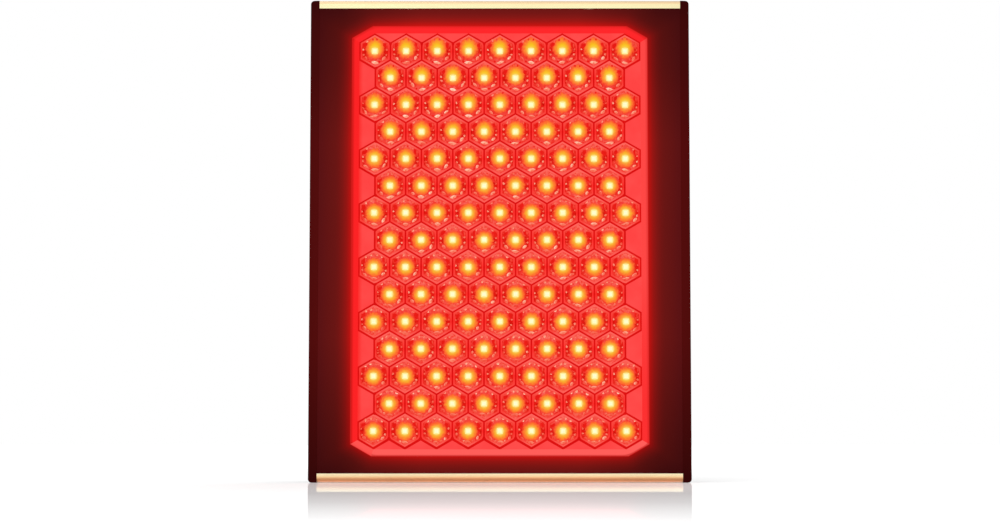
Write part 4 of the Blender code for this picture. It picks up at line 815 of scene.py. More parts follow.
facetPiece.data.attributes.new("spark", "FLOAT", "FACE").data.foreach_set("value", sparks)
print("lens field:", len(lensPiece.data.polygons) + len(facetPiece.data.polygons), "faces")


# Shapes of the rear: outlines are (a, b) pairs, solids (verts, faces) with a third value for the depth.
def arcPoints(radius, start, end, steps=24):
    angles = [math.radians(start + (end - start) * step / steps) for step in range(steps + 1)]
    return [(radius * math.cos(angle), radius * math.sin(angle)) for angle in angles]


def circle(radius, sides=48):
    return arcPoints(radius, 0, 360, sides)[:-1]


def roundedRectangle(halfA, halfB, radius, steps=5):
    points = []
    for turn, (signA, signB) in enumerate(((1, 1), (-1, 1), (-1, -1), (1, -1))):
        for a, b in arcPoints(radius, 90 * turn, 90 * (turn + 1), steps):
            points.append((signA * (halfA - radius) + a, signB * (halfB - radius) + b))
    return points


def placed(outline, a, b, turn=0.0):
    cosine, sine = math.cos(turn), math.sin(turn)
    return [(a + x * cosine - z * sine, b + x * sine + z * cosine) for x, z in outline]


def boxMiddle(node):
    low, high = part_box(node)
    return (low + high) / 2


def boxOutline(node, inset, corner):
    # the outline of a CAD node's box as seen from behind, with round corners
    low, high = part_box(node)
    outline = roundedRectangle((high.x - low.x) / 2 - inset, (high.z - low.z) / 2 - inset, corner)
    return placed(outline, (low.x + high.x) / 2, (low.z + high.z) / 2)


def plate(outline, holes, low, high, eases=(0.0, 0.0), steps=3):
    # a flat solid with holes between two depths, the rims of its two faces rounded over
    loops = [(outline, -1)] + [(hole, 1) for hole in holes]
    levels = []
    for ease, depth, inward in ((eases[0], low, 1), (eases[1], high, -1)):
        angles = [math.pi / 2 * (1 - step / steps) for step in range(steps + 1)] if ease else [0.0]
        ring = [(depth + inward * ease * (1 - math.sin(angle)), ease * (1 - math.cos(angle))) for angle in angles]
        levels += ring[::inward]
    verts, faces, starts = [], [], []
    for depth, shrink in levels:
        starts.append(len(verts))
        shrunk = [offsetLoop(loop, growth * shrink) if shrink else loop for loop, growth in loops]
        verts += [(a, b, depth) for loop in shrunk for a, b in loop]
        if len(starts) in (1, len(levels)):
            faces += capFaces(shrunk, starts[-1])
    for below, above in zip(starts, starts[1:]):
        for loop, _ in loops:
            faces += stitch(below, above, len(loop))
            below, above = below + len(loop), above + len(loop)
    return verts, faces


def turned(profile, sides=32):
    # a turned solid about the depth axis from (radius, depth) pairs, closed flat at both ends
    verts = [(radius * a, radius * b, depth) for radius, depth in profile for a, b in circle(1.0, sides)]
    faces = [tuple(range(sides)), tuple(range(len(verts) - sides, len(verts)))]
    for ring in range(len(profile) - 1):
        faces += stitch(ring * sides, (ring + 1) * sides, sides)
    return verts, faces


seam = 0.02 * mm  # how far the parts of one moulding run into each other


def together(*shapes):
    verts, faces = [], []
    for shapeVerts, shapeFaces in shapes:
        first = len(verts)
        verts += shapeVerts
        faces += [tuple(first + corner for corner in face) for face in shapeFaces]
    return verts, faces


def fromRear(shape, x=0.0, y=0.0, z=0.0):
    # (a, b, depth) looks at the panel's rear: a runs along x, b along z and the depth along y
    return [(a + x, depth + y, b + z) for a, b, depth in shape[0]], shape[1]


def fromSide(shape, y=0.0, z=0.0):
    # a runs along y, b along z and the depth along x
    return [(depth, a + y, b + z) for a, b, depth in shape[0]], shape[1]


# Screws: pan heads with a cross recess, each left at its own angle by the driver.
screw = {
    "head": [(0.97, 0.0), (1.0, 0.06), (1.0, 0.42), (0.955, 0.66), (0.86, 0.84), (0.72, 0.96), (0.6, 1.0)],
    "point": 0.6,
    "recessReach": 0.52,  # share of the head's radius
    "recessWidth": 0.14,
    "recessTaper": 0.75,
    "recessDepth": 0.5,  # share of the head's height
    "sides": 28,
}


def screwShape(radius, height, shank, length, turn):
    sides, point = screw["sides"], screw["point"]
    profile = [(shank * point, -length), (shank, shank * point - length), (shank, 0.0)]
    verts, faces = turned(profile + [(radius * share, height * rise) for share, rise in screw["head"]], sides)
    faces.pop(1)  # the flat top is cut open for the recess
    reach, half = screw["recessReach"] * radius, screw["recessWidth"] * radius
    arm = [(reach, -half), (reach, half), (half, half)]
    cross = [point for step in range(4) for point in placed(arm, 0, 0, step * math.pi / 2 + turn)]
    first, count = len(verts), len(cross)
    rim = [vert[:2] for vert in verts[-sides:]]
    # the rim's and the cross's corners follow each other in the list of points
    faces += capFaces([rim, cross], first - sides)
    taper, floorDepth = screw["recessTaper"], height * (1 - screw["recessDepth"])
    verts += [(a, b, height) for a, b in cross] + [(a * taper, b * taper, floorDepth) for a, b in cross]
    faces += stitch(first, first + count, count) + [tuple(range(first + count, first + 2 * count))]
    return verts, faces


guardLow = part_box("fan_guard_left")[0]
for number in range(1, 7):
    node = f"cover_screw_{number}"
    low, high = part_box(node)
    middle, radius = (low + high) / 2, (high.x - low.x) / 2
    turn = draws.uniform(0, math.pi / 2)
    shape = screwShape(radius, high.y - guardLow.y, radius / 2, guardLow.y - low.y, turn)
    shape = fromRear(shape, middle.x, guardLow.y, middle.z)
    newPiece(f"lid_screw_{number}", shape, "zinc plated steel", node, smooth=35)

fanScrew = {"spread": 35.75 * mm, "radius": 2.5 * mm, "height": 1.4 * mm, "shank": 1.2 * mm, "length": 6 * mm}
fanMiddles = {name: boxMiddle("fan_rotor_" + name) for name in ("left", "right")}
for name, middle in fanMiddles.items():
    for number, (signX, signZ) in enumerate(((-1, -1), (1, -1), (1, 1), (-1, 1)), 1):
        sizes = [fanScrew[key] for key in ("radius", "height", "shank", "length")]
        x, z = middle.x + signX * fanScrew["spread"], middle.z + signZ * fanScrew["spread"]
        shape = fromRear(screwShape(*sizes, draws.uniform(0, 1.5)), x, coverHigh.y, z)
        newPiece(f"fan_screw_{name}_{number}", shape, "zinc plated steel", smooth=35)

# Rear cover: one sheet with round-ended vents, keyholes and openings, its rims rolled over.
rearCover = {
    "ease": 0.35 * mm,
    "corner": 1.0 * mm,
    "fanBore": 37.5 * mm,
    "screwHole": 1.7 * mm,
    "keyHole": 4.8 * mm,
    "ventCount": 11,
    "ventPitch": 8.0 * mm,
    "ventWidth": 3.0 * mm,
    "ventHeight": 16.0 * mm,
    "ventBelowTop": 34.0 * mm,
    "roundness": 0.98,  # of a slot's ends
    "keyholeSpacing": 120.0 * mm,
    "keyholeBelowTop": 23.0 * mm,
    "keyholeHead": 4.8 * mm,
    "keyholeSlot": 4.6 * mm,
    "keyholeRise": 10.0 * mm,
    "clearance": 0.3 * mm,
    # how far the openings stand in from the box of what they hold, and their corners
    "openings": {
        "mains_inlet": (1.9 * mm, 0.5 * mm),
        "switch_body": (1.0 * mm, 0.5 * mm),
        "display_window": (0.0, 0.9 * mm),
    },
}
keyUses = ("timer", "mode", "power")
bores = [(middle, rearCover["fanBore"], 64) for middle in fanMiddles.values()]
bores += [(boxMiddle(f"cover_screw_{number}"), rearCover["screwHole"], 16) for number in range(1, 7)]
bores += [(boxMiddle("button_" + use), rearCover["keyHole"], 32) for use in keyUses]
holes = [placed(circle(radius, sides), middle.x, middle.z) for middle, radius, sides in bores]
for node, (inset, corner) in rearCover["openings"].items():
    holes.append(boxOutline(node, inset - rearCover["clearance"], corner))
halfVent, halfHeight = rearCover["ventWidth"] / 2, rearCover["ventHeight"] / 2
vent = roundedRectangle(halfVent, halfHeight, halfVent * rearCover["roundness"])
for number in range(rearCover["ventCount"]):
    x = (number - (rearCover["ventCount"] - 1) / 2) * rearCover["ventPitch"]
    holes.append(placed(vent, x, railHigh.z - rearCover["ventBelowTop"] - halfHeight))
# a keyhole is a round entry with a slot rising from it to a round end
half = rearCover["keyholeSlot"] / 2
start = 90 + math.degrees(math.asin(half / rearCover["keyholeHead"]))
keyhole = arcPoints(rearCover["keyholeHead"], start, 540 - start, 32)
keyhole += placed(arcPoints(half, 0, 180, 12), 0, rearCover["keyholeRise"] - half)
for side in (-1, 1):
    holes.append(placed(keyhole, side * rearCover["keyholeSpacing"] / 2, railHigh.z - rearCover["keyholeBelowTop"]))
outline = boxOutline("rear_cover", 0, rearCover["corner"])
shape = fromRear(plate(outline, holes, coverLow.y, coverHigh.y, (0, rearCover["ease"])))
newPiece("lid_sheet", shape, "powder coated steel", "rear_cover", smooth=35)

# Fan guards: round grilles with rolled rims.
grille = {"slots": 12, "slotWidth": 4.8 * mm, "slotFrom": 13.5 * mm, "slotTo": 35.5 * mm, "ease": 0.4 * mm}
halfLength, half = (grille["slotTo"] - grille["slotFrom"]) / 2, grille["slotWidth"] / 2
slotMiddle = (grille["slotTo"] + grille["slotFrom"]) / 2
slots = []
for number in range(grille["slots"]):
    turn = 2 * math.pi * (number + 0.5) / grille["slots"]
    slot = roundedRectangle(halfLength, half, half * rearCover["roundness"])
    slots.append(placed(slot, slotMiddle * math.cos(turn), slotMiddle * math.sin(turn), turn))
for name, middle in fanMiddles.items():
    low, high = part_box("fan_guard_" + name)
    disc = plate(circle((high.x - low.x) / 2, 96), slots, low.y, high.y, (0, grille["ease"]))
    shape = fromRear(disc, middle.x, 0, middle.z)
    newPiece("grille_" + name, shape, "powder coated steel", "fan_guard_" + name, smooth=35)

# Fan rotors: a cup-shaped hub with a dished end and seven swept, cambered blades.
rotor = {
    "blades": 7,
    "hub": 16.0 * mm,
    "tip": 36.0 * mm,
    "chord": (13.5, 17.5),  # mm at the hub and at the tip
    "tipRound": 0.22,  # share of the chord that the tip's rounding takes off
    "slant": (42, 29),  # degrees
    "sweep": 5.0,  # mm that the tip runs ahead
    "camber": 1.3,
    "thickness": 1.5,
    "thinning": 0.35,
    "drop": 0.7,
    "sections": 9,
    "chordSteps": 8,
    "bore": 2.95 * mm,
    "boreDepth": 7.3 * mm,
    "edge": 0.8 * mm,
    # the hub's rim and dished end: mm inside its radius and below its end
    "rim": [(0, 1.8), (0.25, 1.0), (0.9, 0.3), (1.8, 0), (3.6, 0), (4.1, 0.5)],
}


def bladeShape(turn, middleDepth):
    verts, faces = [], []
    steps, hub, tip = rotor["chordSteps"], rotor["hub"], rotor["tip"]
    # once round the blade's section: out along its back, home along its belly
    ring = [(step / steps, 1) for step in range(steps + 1)] + [(1 - step / steps, -1) for step in range(1, steps)]
    for section in range(rotor["sections"]):
        share = section / (rotor["sections"] - 1)
        radius = hub - mm + (tip - hub + mm) * share
        chord, slant = (start + (end - start) * share for start, end in (rotor["chord"], rotor["slant"]))
        chord *= 1 - rotor["tipRound"] * share**8
        sine, cosine = math.sin(math.radians(slant)), math.cos(math.radians(slant))
        for along, side in ring:
            reach, offset = (along - 0.5) * chord, 2 * along - 1
            thick = rotor["thickness"] * (1 - rotor["thinning"] * share) * math.sqrt(max(0.0, 1 - offset**4)) / 2
            bow = rotor["camber"] * (1 - offset**2) + side * thick
            around = rotor["sweep"] * share**1.5 + reach * cosine - bow * sine
            angle = turn + around * mm / radius
            depth = middleDepth + (reach * sine + (bow - rotor["drop"]) * cosine) * mm
            verts.append((radius * math.cos(angle), radius * math.sin(angle), depth))
    count = len(ring)
    for section in range(rotor["sections"] - 1):
        faces += stitch(section * count, (section + 1) * count, count)
    return verts, faces + [tuple(range(count)), tuple(range(len(verts) - count, len(verts)))]


for name, middle in fanMiddles.items():
    low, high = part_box("fan_rotor_" + name)
    hub, bore, edge = rotor["hub"], rotor["bore"], rotor["edge"]
    profile = [(bore, low.y + rotor["boreDepth"]), (bore, low.y), (hub - edge, low.y), (hub, low.y + edge)]
    profile += [(hub - inset * mm, high.y - drop * mm) for inset, drop in rotor["rim"]]
    turns = [2 * math.pi * number / rotor["blades"] for number in range(rotor["blades"])]
    blades = [bladeShape(turn, (low.y + high.y) / 2) for turn in turns]
    shape = fromRear(together(turned(profile, 64), *blades), middle.x, 0, middle.z)
    newPiece("rotor_" + name, shape, "moulded ABS", "fan_rotor_" + name, name + "_fan", 35)

# Mains inlet: a flanged socket with a two-cornered cavity and a raised lip round it.
inlet = {
    "flange": 2.0 * mm,
    "flangeCorner": 2.6 * mm,
    "flangeEase": 0.5 * mm,
    "bodyInset": 1.9 * mm,
    "bodyCorner": 0.8 * mm,
    "cavity": (12.0 * mm, 8.25 * mm),
    "cavityDepth": 16.0 * mm,
    "chamfer": 4.5 * mm,
    "lip": (0.9 * mm, 0.25 * mm, 0.2 * mm),  # width, height and rounding
    "pinEases": (0.55 * mm, 0.15 * mm),  # at a pin's end and along it
}
inletLow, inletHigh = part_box("mains_inlet")
middle, face = (inletLow + inletHigh) / 2, inletHigh.y
(x, z), chamfer = inlet["cavity"], inlet["chamfer"]
cavity = [(-x, -z), (x, -z), (x, z - chamfer), (x - chamfer, z), (chamfer - x, z), (-x, z - chamfer)]
cavity = placed(cavity, middle.x, middle.z)
lipWidth, lipDrop, lipEase = inlet["lip"]
body = boxOutline("mains_inlet", inlet["bodyInset"], inlet["bodyCorner"])
flange = boxOutline("mains_inlet", 0, inlet["flangeCorner"])
flangeBack, cavityEnd = face - inlet["flange"], face - inlet["cavityDepth"]
shape = together(
    plate(flange, [cavity], flangeBack, face - lipDrop, (0, inlet["flangeEase"])),
    plate(offsetLoop(cavity, lipWidth), [cavity], face - lipDrop - seam, face, (0, lipEase)),
    plate(body, [cavity], cavityEnd, flangeBack + seam),
    plate(body, [], inletLow.y, cavityEnd + seam),
)
newPiece("socket_shell", fromRear(shape), "moulded ABS", "mains_inlet", smooth=35)
for use in ("live", "neutral", "earth"):
    low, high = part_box("inlet_pin_" + use)
    bm = addBlock(bmesh.new(), low, high)
    endEase, longEase = inlet["pinEases"]
    roundEdges(bm, lambda edge, a, b: max(abs(a.y - high.y), abs(b.y - high.y)) < mm / 10, endEase, 3)
    roundEdges(bm, lambda edge, a, b: abs(a.y - b.y) > 2 * mm, longEase, 2)
    newPiece("blade_" + use, bm, "nickel plated brass", "inlet_pin_" + use, smooth=35)

# Mains switch: a snap-in bezel and a rocker with a hollowed face, marked I and O.
switch = {
    "flange": 1.5 * mm,
    "flangeCorner": 1.6 * mm,
    "flangeEase": 0.5 * mm,
    "bodyInset": 1.0 * mm,
    "bodyCorner": 0.6 * mm,
    "wall": 1.0 * mm,
    "wellCorner": 0.5 * mm,
    "cavityDepth": 8.0 * mm,
    "wingRise": 3.0,  # mm above the pivot
    "valleyRise": 1.8,
    "shoulder": 0.5,
    "keel": 4.5,
    "tilt": math.radians(8),
    "pivotDrop": 0.5 * mm,
    "endGap": 0.8 * mm,
    "sideGap": 0.4 * mm,
    "ease": 0.35 * mm,
}
switchLow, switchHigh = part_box("switch_body")
middle, face = (switchLow + switchHigh) / 2, switchHigh.y
wellInset = switch["bodyInset"] + switch["wall"]
well = boxOutline("switch_body", wellInset, switch["wellCorner"])
body = boxOutline("switch_body", switch["bodyInset"], switch["bodyCorner"])
flange = boxOutline("switch_body", 0, switch["flangeCorner"])
flangeBack, wellEnd = face - switch["flange"], face - switch["cavityDepth"]
shape = together(
    plate(flange, [well], flangeBack, face, (0, switch["flangeEase"])),
    plate(body, [well], wellEnd, flangeBack + seam),
    plate(body, [], switchLow.y, wellEnd + seam),
)
newPiece("switch_bezel", fromRear(shape), "moulded ABS", "switch_body", smooth=35)

pivot = Vector((middle.x, face - switch["pivotDrop"], middle.z))
halfWide = (switchHigh.x - switchLow.x) / 2 - wellInset - switch["sideGap"]
rockerHalf = ((switchHigh.z - switchLow.z) / 2 - wellInset - switch["endGap"]) / mm


def hollowRise(share):
    # how high the hollow face stands over the pivot, in mm, at a share of the way to its ends
    return switch["wingRise"] - (switch["wingRise"] - switch["valleyRise"]) * (1 - share**2)


def tiltRocker(shape):
    # from the rocker's own (y, z, x) in mm about its pivot to where it stands
    cosine, sine = math.cos(switch["tilt"]) * mm, math.sin(switch["tilt"]) * mm
    return [(pivot.x + across * mm, pivot.y + y * cosine - z * sine, pivot.z + y * sine + z * cosine)
            for y, z, across in shape[0]], shape[1]


shoulder, keel = switch["shoulder"], switch["keel"]
profile = [(hollowRise(1 - step / 6), (1 - step / 6) * rockerHalf) for step in range(13)]
profile += [(-shoulder, -rockerHalf), (-keel, -rockerHalf / 3), (-keel, rockerHalf / 3), (-shoulder, rockerHalf)]
wide, ease = halfWide / mm, switch["ease"] / mm
shape = tiltRocker(plate(profile, [], -wide, wide, (ease, ease)))
newPiece("rocker_cap", shape, "moulded ABS", "switch_rocker", "rocker", 35)

marks = {"lineHeight": 3.0, "lineWidth": 0.55, "corner": 0.2, "ring": 1.5, "ink": 0.04, "place": 0.58}
line = roundedRectangle(marks["lineWidth"] / 2, marks["lineHeight"] / 2, marks["corner"], 2)
ringSides = 40
ringLoops = [circle(radius, ringSides) for radius in (marks["ring"], marks["ring"] - marks["lineWidth"])]
for name, loops, end in (("on", [line], 1), ("off", ringLoops, -1)):
    # a printed mark laid on the hollow face, drawn about its middle in mm as (across, up)
    verts, faces = plate(loops[0], loops[1:], 0.0, marks["ink"])
    rise = end * rockerHalf * marks["place"]
    laid = [(hollowRise((rise + up) / rockerHalf) + lift, rise + up, across) for across, up, lift in verts]
    newPiece("rocker_mark_" + name, tiltRocker((laid, faces)), "pad printed ink", body="rocker")

# Display: a smoked window with the segments of a timer glowing behind it.
display = {
    "ease": 0.3 * mm,
    "corner": 0.6 * mm,
    "digits": "10:00",
    "height": 8.0,
    "width": 4.4,
    "stroke": 0.85,
    "dot": 0.55,  # share of a stroke
    "gap": 0.12,
    "step": 6.4,
    "lean": 0.12,
    "proud": 0.03 * mm,
    "sunk": 0.2 * mm,
}
windowLow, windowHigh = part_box("display_window")
middle = (windowLow + windowHigh) / 2
outline = boxOutline("display_window", 0, display["corner"])
shape = fromRear(plate(outline, [], windowLow.y, windowHigh.y, (0, display["ease"])))
newPiece("display_glass", shape, "smoked acrylic", "display_window", smooth=35)

segmentEnds = {
    "a": ((-1, 2), (1, 2)),
    "b": ((1, 2), (1, 0)),
    "c": ((1, 0), (1, -2)),
    "d": ((-1, -2), (1, -2)),
    "e": ((-1, 0), (-1, -2)),
    "f": ((-1, 2), (-1, 0)),
    "g": ((-1, 0), (1, 0)),
}
digitSegments = {"0": "abcdef", "1": "bc"}
strokes = []
widths = [display["step"] / (2 if digit == ":" else 1) for digit in display["digits"]]
start = -sum(widths) / 2
for digit, width in zip(display["digits"], widths):
    centre = start + width / 2
    start += width
    if digit == ":":
        dot = circle(display["stroke"] * display["dot"], 16)
        strokes += [(placed(dot, centre, end * display["height"] / 5), True) for end in (-1, 1)]
        continue
    for name, ends in segmentEnds.items():
        a, b = (Vector((x * display["width"] / 2, z * display["height"] / 4)) for x, z in ends)
        along, mid = b - a, (a + b) / 2
        half, point = along.length / 2 - display["gap"], display["stroke"] / 2
        bar = [(-half, 0), (point - half, -point), (half - point, -point)]
        bar += [(-x, -z) for x, z in bar]
        bar = placed(bar, centre + mid.x, mid.y, math.atan2(along.y, along.x))
        strokes.append((bar, name in digitSegments[digit]))
for name, finish, lit in (("lit", "LED segments, lit", True), ("dark", "LED segments, unlit", False)):
    shapes = []
    for outline in [outline for outline, on in strokes if on == lit]:
        leaning = [((across + up * display["lean"]) * -mm, up * mm) for across, up in outline]
        shapes.append(plate(leaning, [], windowHigh.y - display["sunk"], windowHigh.y + display["proud"]))
    newPiece(f"display_{name}_segments", fromRear(together(*shapes), middle.x, 0, middle.z), finish)

# Push buttons: turned caps with a shallow dish and a printed sign each.
button = {
    "radius": 4.5 * mm,
    "collar": 5.6 * mm,
    "collarThick": 1.5 * mm,
    "round": 0.7 * mm,
    "dish": 0.25 * mm,
    "dishShares": [(0.74, 0.0), (0.68, 0.6), (0.6, 1.0)],  # of the radius and of the dish's depth
    "sign": 2.1,
    "stroke": 0.45,
    "ink": 0.04 * mm,
    "inkSunk": 0.1 * mm,
}


def stroke(*points):
    # a printed line through points, in mm, as flat bars
    bars, half = [], button["stroke"] / 2
    for (a, b), (c, d) in zip(points, points[1:]):
        bar = roundedRectangle(math.hypot(c - a, d - b) / 2 + half, half, half * 0.95, 3)
        bars.append([placed(bar, (a + c) / 2, (b + d) / 2, math.atan2(d - b, c - a))])
    return bars


outside, inside = button["sign"], button["sign"] - button["stroke"]
signs = {
    "timer": [[circle(outside, ringSides), circle(inside, ringSides)]] + stroke((0, 1.2), (0, 0), (0.9, -0.5)),
    "mode": [bar for rise in (1.1, 0, -1.1) for bar in stroke((-1.6, rise), (1.6, rise))],
    "power": [[arcPoints(outside, 125, 415) + arcPoints(inside, 415, 125)]] + stroke((0, 2.3), (0, 0.5)),
}
for use in keyUses:
    low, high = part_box("button_" + use)
    middle = (low + high) / 2
    radius, dish, ease = button["radius"], button["dish"], button["round"]
    collarTop = low.y + button["collarThick"]
    profile = [(button["collar"], low.y), (button["collar"], collarTop), (radius, collarTop)]
    profile += [(radius - ease + a, high.y - ease + b) for a, b in arcPoints(ease, 0, 90, 4)]
    profile += [(radius * share, high.y - dish * depth) for share, depth in button["dishShares"]]
    shape = fromRear(turned(profile, 48), middle.x, 0, middle.z)
    newPiece("key_" + use, shape, "moulded ABS", "button_" + use, use + "_key", 35)
    inks = []
    for loops in signs[use]:
        loops = [[(-a * mm, b * mm) for a, b in loop] for loop in loops]
        inks.append(plate(loops[0], loops[1:], high.y - dish - button["inkSunk"], high.y - dish + button["ink"]))
    shape = fromRear(together(*inks), middle.x, 0, middle.z)
    newPiece("key_sign_" + use, shape, "pad printed ink", body=use + "_key")
print("rear: cover, screws, fans, inlet, switch, display and buttons")

# Rear stand: flat bars with a round heel on the hinge pins, a cross bar and a ribbed rubber foot.
barLow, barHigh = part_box("stand_bar")
footLow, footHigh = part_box("stand_foot")
stand = {
    "eases": (0.3 * mm, 0.3 * mm),
    "toe": 0.6 * mm,
    "pinHole": 1.3 * mm,
    "pinEase": 0.3 * mm,
    "pinEnd": 0.55,
    "earThick": 3.0 * mm,
    "earCorner": 1.2 * mm,
    "legGap": 1.5 * mm,
    "blockInset": 0.25 * mm,
    "barInto": 0.3 * mm,  # how far the bar runs into each leg
    "barRound": 0.7 * mm,
    "ribPitch": 4.0 * mm,
    "ribDepth": 0.7 * mm,
    "ribPlaces": ((0.08, 1), (0.2, 0), (0.8, 0), (0.92, 1)),  # shares of the pitch and of the depth
    "footEases": (0.25 * mm, 0.25 * mm),
}
hinge = boxMiddle("hinge_pin_left")
halfThick = (barHigh.y - barLow.y) / 2
for name in ("left", "right"):
    low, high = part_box("stand_leg_" + name)
    drop, toe, blockLow = low.z - hinge.z, stand["toe"], high.z + stand["legGap"]
    hole = circle(stand["pinHole"], 24)
    outline = arcPoints(halfThick, 0, 180, 16) + [(-halfThick, drop + toe), (toe - halfThick, drop)]
    outline += [(halfThick - toe, drop), (halfThick, drop + toe)]
    shape = fromSide(plate(outline, [hole], low.x, high.x, stand["eases"], 2), hinge.y, hinge.z)
    newPiece("prop_" + name, shape, "black anodised aluminium", "stand_leg_" + name, "stand", 35)

    low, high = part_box("stand_bracket_" + name)
    middle, inset, inward = (low + high) / 2, stand["blockInset"], stand["earThick"]
    halfY, halfZ = (high.y - low.y) / 2, (high.z - low.z) / 2
    ear = placed(roundedRectangle(halfY, halfZ, stand["earCorner"]), middle.y, middle.z)
    hole = placed(hole, hinge.y, hinge.z)
    block = roundedRectangle(halfY - inset, (high.z - blockLow) / 2 - inset, mm)
    block = placed(block, middle.y, (blockLow + high.z) / 2)
    shape = together(
        plate(ear, [hole], low.x, low.x + inward, stand["eases"], 2),
        plate(ear, [hole], high.x - inward, high.x, stand["eases"], 2),
        plate(block, [], low.x + inward / 2, high.x - inward / 2),
    )
    node = "stand_bracket_" + name
    newPiece("hinge_block_" + name, fromSide(shape), "black anodised aluminium", node, smooth=35)

    low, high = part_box("hinge_pin_" + name)
    radius, ease = (high.z - low.z) / 2, stand["pinEase"]
    profile = [(radius * stand["pinEnd"], low.x), (radius, low.x + ease), (radius, high.x - ease)]
    shape = fromSide(turned(profile + [(radius * stand["pinEnd"], high.x)], 24), hinge.y, hinge.z)
    newPiece("pivot_" + name, shape, "zinc plated steel", "hinge_pin_" + name, smooth=35)

into = Vector((stand["barInto"], 0, 0))
bm = addBlock(bmesh.new(), barLow - into, barHigh + into)
roundEdges(bm, lambda edge, a, b: abs(a.x - b.x) > 0.05, stand["barRound"], 4)
newPiece("cross_bar", bm, "black anodised aluminium", "stand_bar", "stand", 35)

# ribs run across the foot's underside, so it grips along the shelf
count = int((footHigh.x - footLow.x) / stand["ribPitch"])
width = (footHigh.x - footLow.x) / count
outline = [(footHigh.x, footHigh.z), (footLow.x, footHigh.z)]
for number in range(count):
    for share, sunk in stand["ribPlaces"]:
        outline.append((footLow.x + (number + share) * width, footLow.z + sunk * stand["ribDepth"]))
shape = fromRear(plate(outline, [], footLow.y, footHigh.y, stand["footEases"], 2))
newPiece("grip_strip", shape, "moulded silicone rubber", "stand_foot", "stand", 35)

# Foot pads: square, with round corners and a moulded ring in the sole.
pad = {"corner": 3.0 * mm, "ease": 0.5 * mm, "soleEase": 0.3 * mm, "ring": (4.4, 3.2), "ringDepth": 0.5 * mm}
for name in ("front_left", "front_right", "rear_left", "rear_right"):
    low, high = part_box("foot_pad_" + name)
    middle, groove = (low + high) / 2, low.z + pad["ringDepth"]
    outline = roundedRectangle((high.x - low.x) / 2, (high.y - low.y) / 2, pad["corner"])
    outer, inner = (circle(radius * mm, ringSides) for radius in pad["ring"])
    verts, faces = together(
        plate(outline, [outer], low.z, groove + seam, (pad["soleEase"], 0), 2),
        plate(inner, [], low.z, groove + seam, (pad["soleEase"], 0), 2),
        plate(outline, [], groove, high.z, (0, pad["ease"]), 2),
    )
    shape = [(a + middle.x, b + middle.y, depth) for a, b, depth in verts], faces
    newPiece("sole_" + name, shape, "moulded silicone rubber", "foot_pad_" + name, smooth=35)
print("rear: stand and feet")

keptNodes = {
    "black anodised aluminium": ["top_plate", "bottom_plate"],
    "moulded silicone rubber": ["lens_seal"],
    "moulded ABS": ["fan_frame_left", "fan_frame_right", "control_carrier", "display_module"],
    "mill finish aluminium": ["heat_sink", "driver_case"],
    "zinc plated steel": ["driver_bracket"],
    "white solder mask": ["led_board"],
    "green solder mask": ["control_board"],
    "thermal silicone sheet": ["thermal_sheet"],
    "extruded PVC sheath": ["mains_lead", "driver_lead", "led_lead"],
}
# mm that these nodes' edges are rounded by
easedNodes = {
    "top_plate": 0.4, "bottom_plate": 0.4, "fan_frame_left": 0.4, "fan_frame_right": 0.4, "display_module": 0.3,
    "control_carrier": 0.3, "driver_bracket": 0.2,
}
for materialName, names in keptNodes.items():
    for name in names:
        node = cadNodes[name]
        node.data.materials.clear()
        node.data.materials.append(bpy.data.materials[materialName])
        if name in easedNodes:
            ease = node.modifiers.new("eased edges", "BEVEL")
            ease.width, ease.segments, ease.angle_limit = easedNodes[name] * mm, 2, math.radians(40)
            ease.limit_method = "ANGLE"
print("kept nodes: finished")

stage = {
    "floorSize": 40.0,
    "floorLift": (0.21, 0.5),  # light that the floor adds of its own, near the panel and far off
    "liftReach": (0.7, 2.5),  # between these distances from the panel, in metres
    "besideLift": 0.16,  # added beside the panel, where its shadow would fall
    "besideReach": (0.117, 0.24),  # from none to all of it, in metres from the middle
    "fadeReach": 0.76,  # how far in front of the panel the floor's mirror image fades out, in metres
    "mirror": [(0.0, 0.46), (0.2, 0.45), (0.4, 0.48), (0.62, 0.38), (0.84, 0.17), (1.0, 0.0)],
    "grazing": (0.6, 0.97, 0.12, 1.0),  # the mirror image is weaker when seen from above
    "worldLight": (0.6, 1.0),  # what the world gives as light, and what is seen of it
}


def seenRays(tree):
    # 1 for rays that the camera sees, straight or mirrored
    rays = addNode(tree, "LightPath")
    return rays, addNode(tree, "Math", [rays.outputs["Is Camera Ray"], rays.outputs["Is Glossy Ray"]])


floorMesh = bpy.data.meshes.new("floor")
half = stage["floorSize"] / 2
floorMesh.from_pydata([(-half, -half, 0), (half, -half, 0), (half, half, 0), (-half, half, 0)], [], [(0, 1, 2, 3)])
floor = bpy.data.objects.new("floor", floorMesh)
bpy.context.scene.collection.objects.link(floor)
tree, shader = startMaterial("polished white acrylic floor")
floorMesh.materials.append(bpy.data.materials["polished white acrylic floor"])
tree.nodes.remove(shader)
matt = addNode(tree, "BsdfDiffuse", {"Color": linearColour("#F4F4F4")})
place = addNode(tree, "TexCoord").outputs["Object"]
away = addNode(tree, "VectorMath", [place], operation="LENGTH").outputs["Value"]
lift = addNode(tree, "MapRange", [away, *stage["liftReach"], *stage["floorLift"]])
axes = addNode(tree, "SeparateXYZ", [place])
across = addNode(tree, "Math", [axes], operation="ABSOLUTE")
beside = addNode(tree, "MapRange", [across, *stage["besideReach"], 0.0, stage["besideLift"]])
lift = addNode(tree, "Math", [lift, beside])
seenLight = addNode(tree, "Math", [seenRays(tree)[1], lift], operation="MULTIPLY")
ground = addNode(tree, "AddShader", [matt, addNode(tree, "Emission", {"Strength": seenLight})])
mirror = addNode(tree, "BsdfAnisotropic", {"Roughness": 0.02, "Color": (1, 1, 1, 1)})
before = addNode(tree, "Math", [axes.outputs["Y"]], operation="ABSOLUTE")
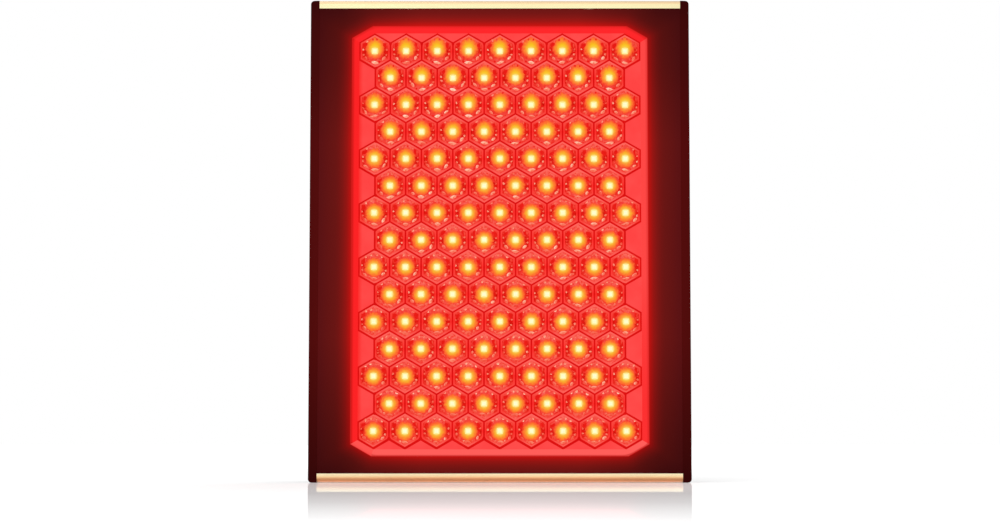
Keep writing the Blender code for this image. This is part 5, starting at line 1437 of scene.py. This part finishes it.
fade = addNode(tree, "MapRange", [before, -frontY, stage["fadeReach"] - frontY])
fade = addNode(tree, "ValToRGB", [fade], stage["mirror"])
facing = addNode(tree, "LayerWeight", {"Blend": 0.5}).outputs["Facing"]
grazing = addNode(tree, "MapRange", [facing, *stage["grazing"]])
polish = addNode(tree, "Math", [fade, grazing], operation="MULTIPLY")
feed(tree.nodes["Material Output"], {"Surface": addNode(tree, "MixShader", [polish, ground, mirror])})

world = bpy.data.worlds.new("studio")
bpy.context.scene.world = world
world.use_nodes = True
tree = world.node_tree
rays, seen = seenRays(tree)
seen = addNode(tree, "Math", [seen, rays.outputs["Is Transmission Ray"]], use_clamp=True)
strength = addNode(tree, "MapRange", [seen, 0.0, 1.0, *stage["worldLight"]])
feed(tree.nodes["Background"], {"Color": (1, 1, 1, 1), "Strength": strength})

lamps = {
    "key": {"place": (-0.9, -1.2, 1.3), "size": 1.2, "watts": 12},
    "rear": {"place": (0.9, 1.3, 1.2), "size": 1.4, "watts": 14},  # lights without being mirrored in the gold
}
for name, lampSettings in lamps.items():
    lamp = bpy.data.lights.new(name, "AREA")
    lamp.energy, lamp.size = lampSettings["watts"], lampSettings["size"]
    holder = bpy.data.objects.new(name, lamp)
    holder.location = lampSettings["place"]
    aim = Vector((0, 0, middleZ)) - holder.location
    holder.rotation_euler = aim.to_track_quat("-Z", "Y").to_euler()
    holder.visible_camera = False
    holder.visible_glossy = name != "rear"
    bpy.context.scene.collection.objects.link(holder)

photo = {"pixelFocal": 2264.2, "width": 1000, "distance": 1.4628, "height": 0.025, "pitch": 4.554, "right": 0.000109}
camera = bpy.data.cameras.new("camera")
camera.sensor_width = 36.0
camera.lens = photo["pixelFocal"] / photo["width"] * camera.sensor_width
camera.clip_start, camera.clip_end = 0.01, 30
cameraHolder = bpy.data.objects.new("camera", camera)
cameraHolder.location = (photo["right"], -photo["distance"], photo["height"])
cameraHolder.rotation_euler = (math.radians(90 + photo["pitch"]), 0, 0)
bpy.context.scene.collection.objects.link(cameraHolder)
bpy.context.scene.camera = cameraHolder
bpy.context.scene.view_settings.view_transform = "Standard"
print("stage: floor, lamps and camera")
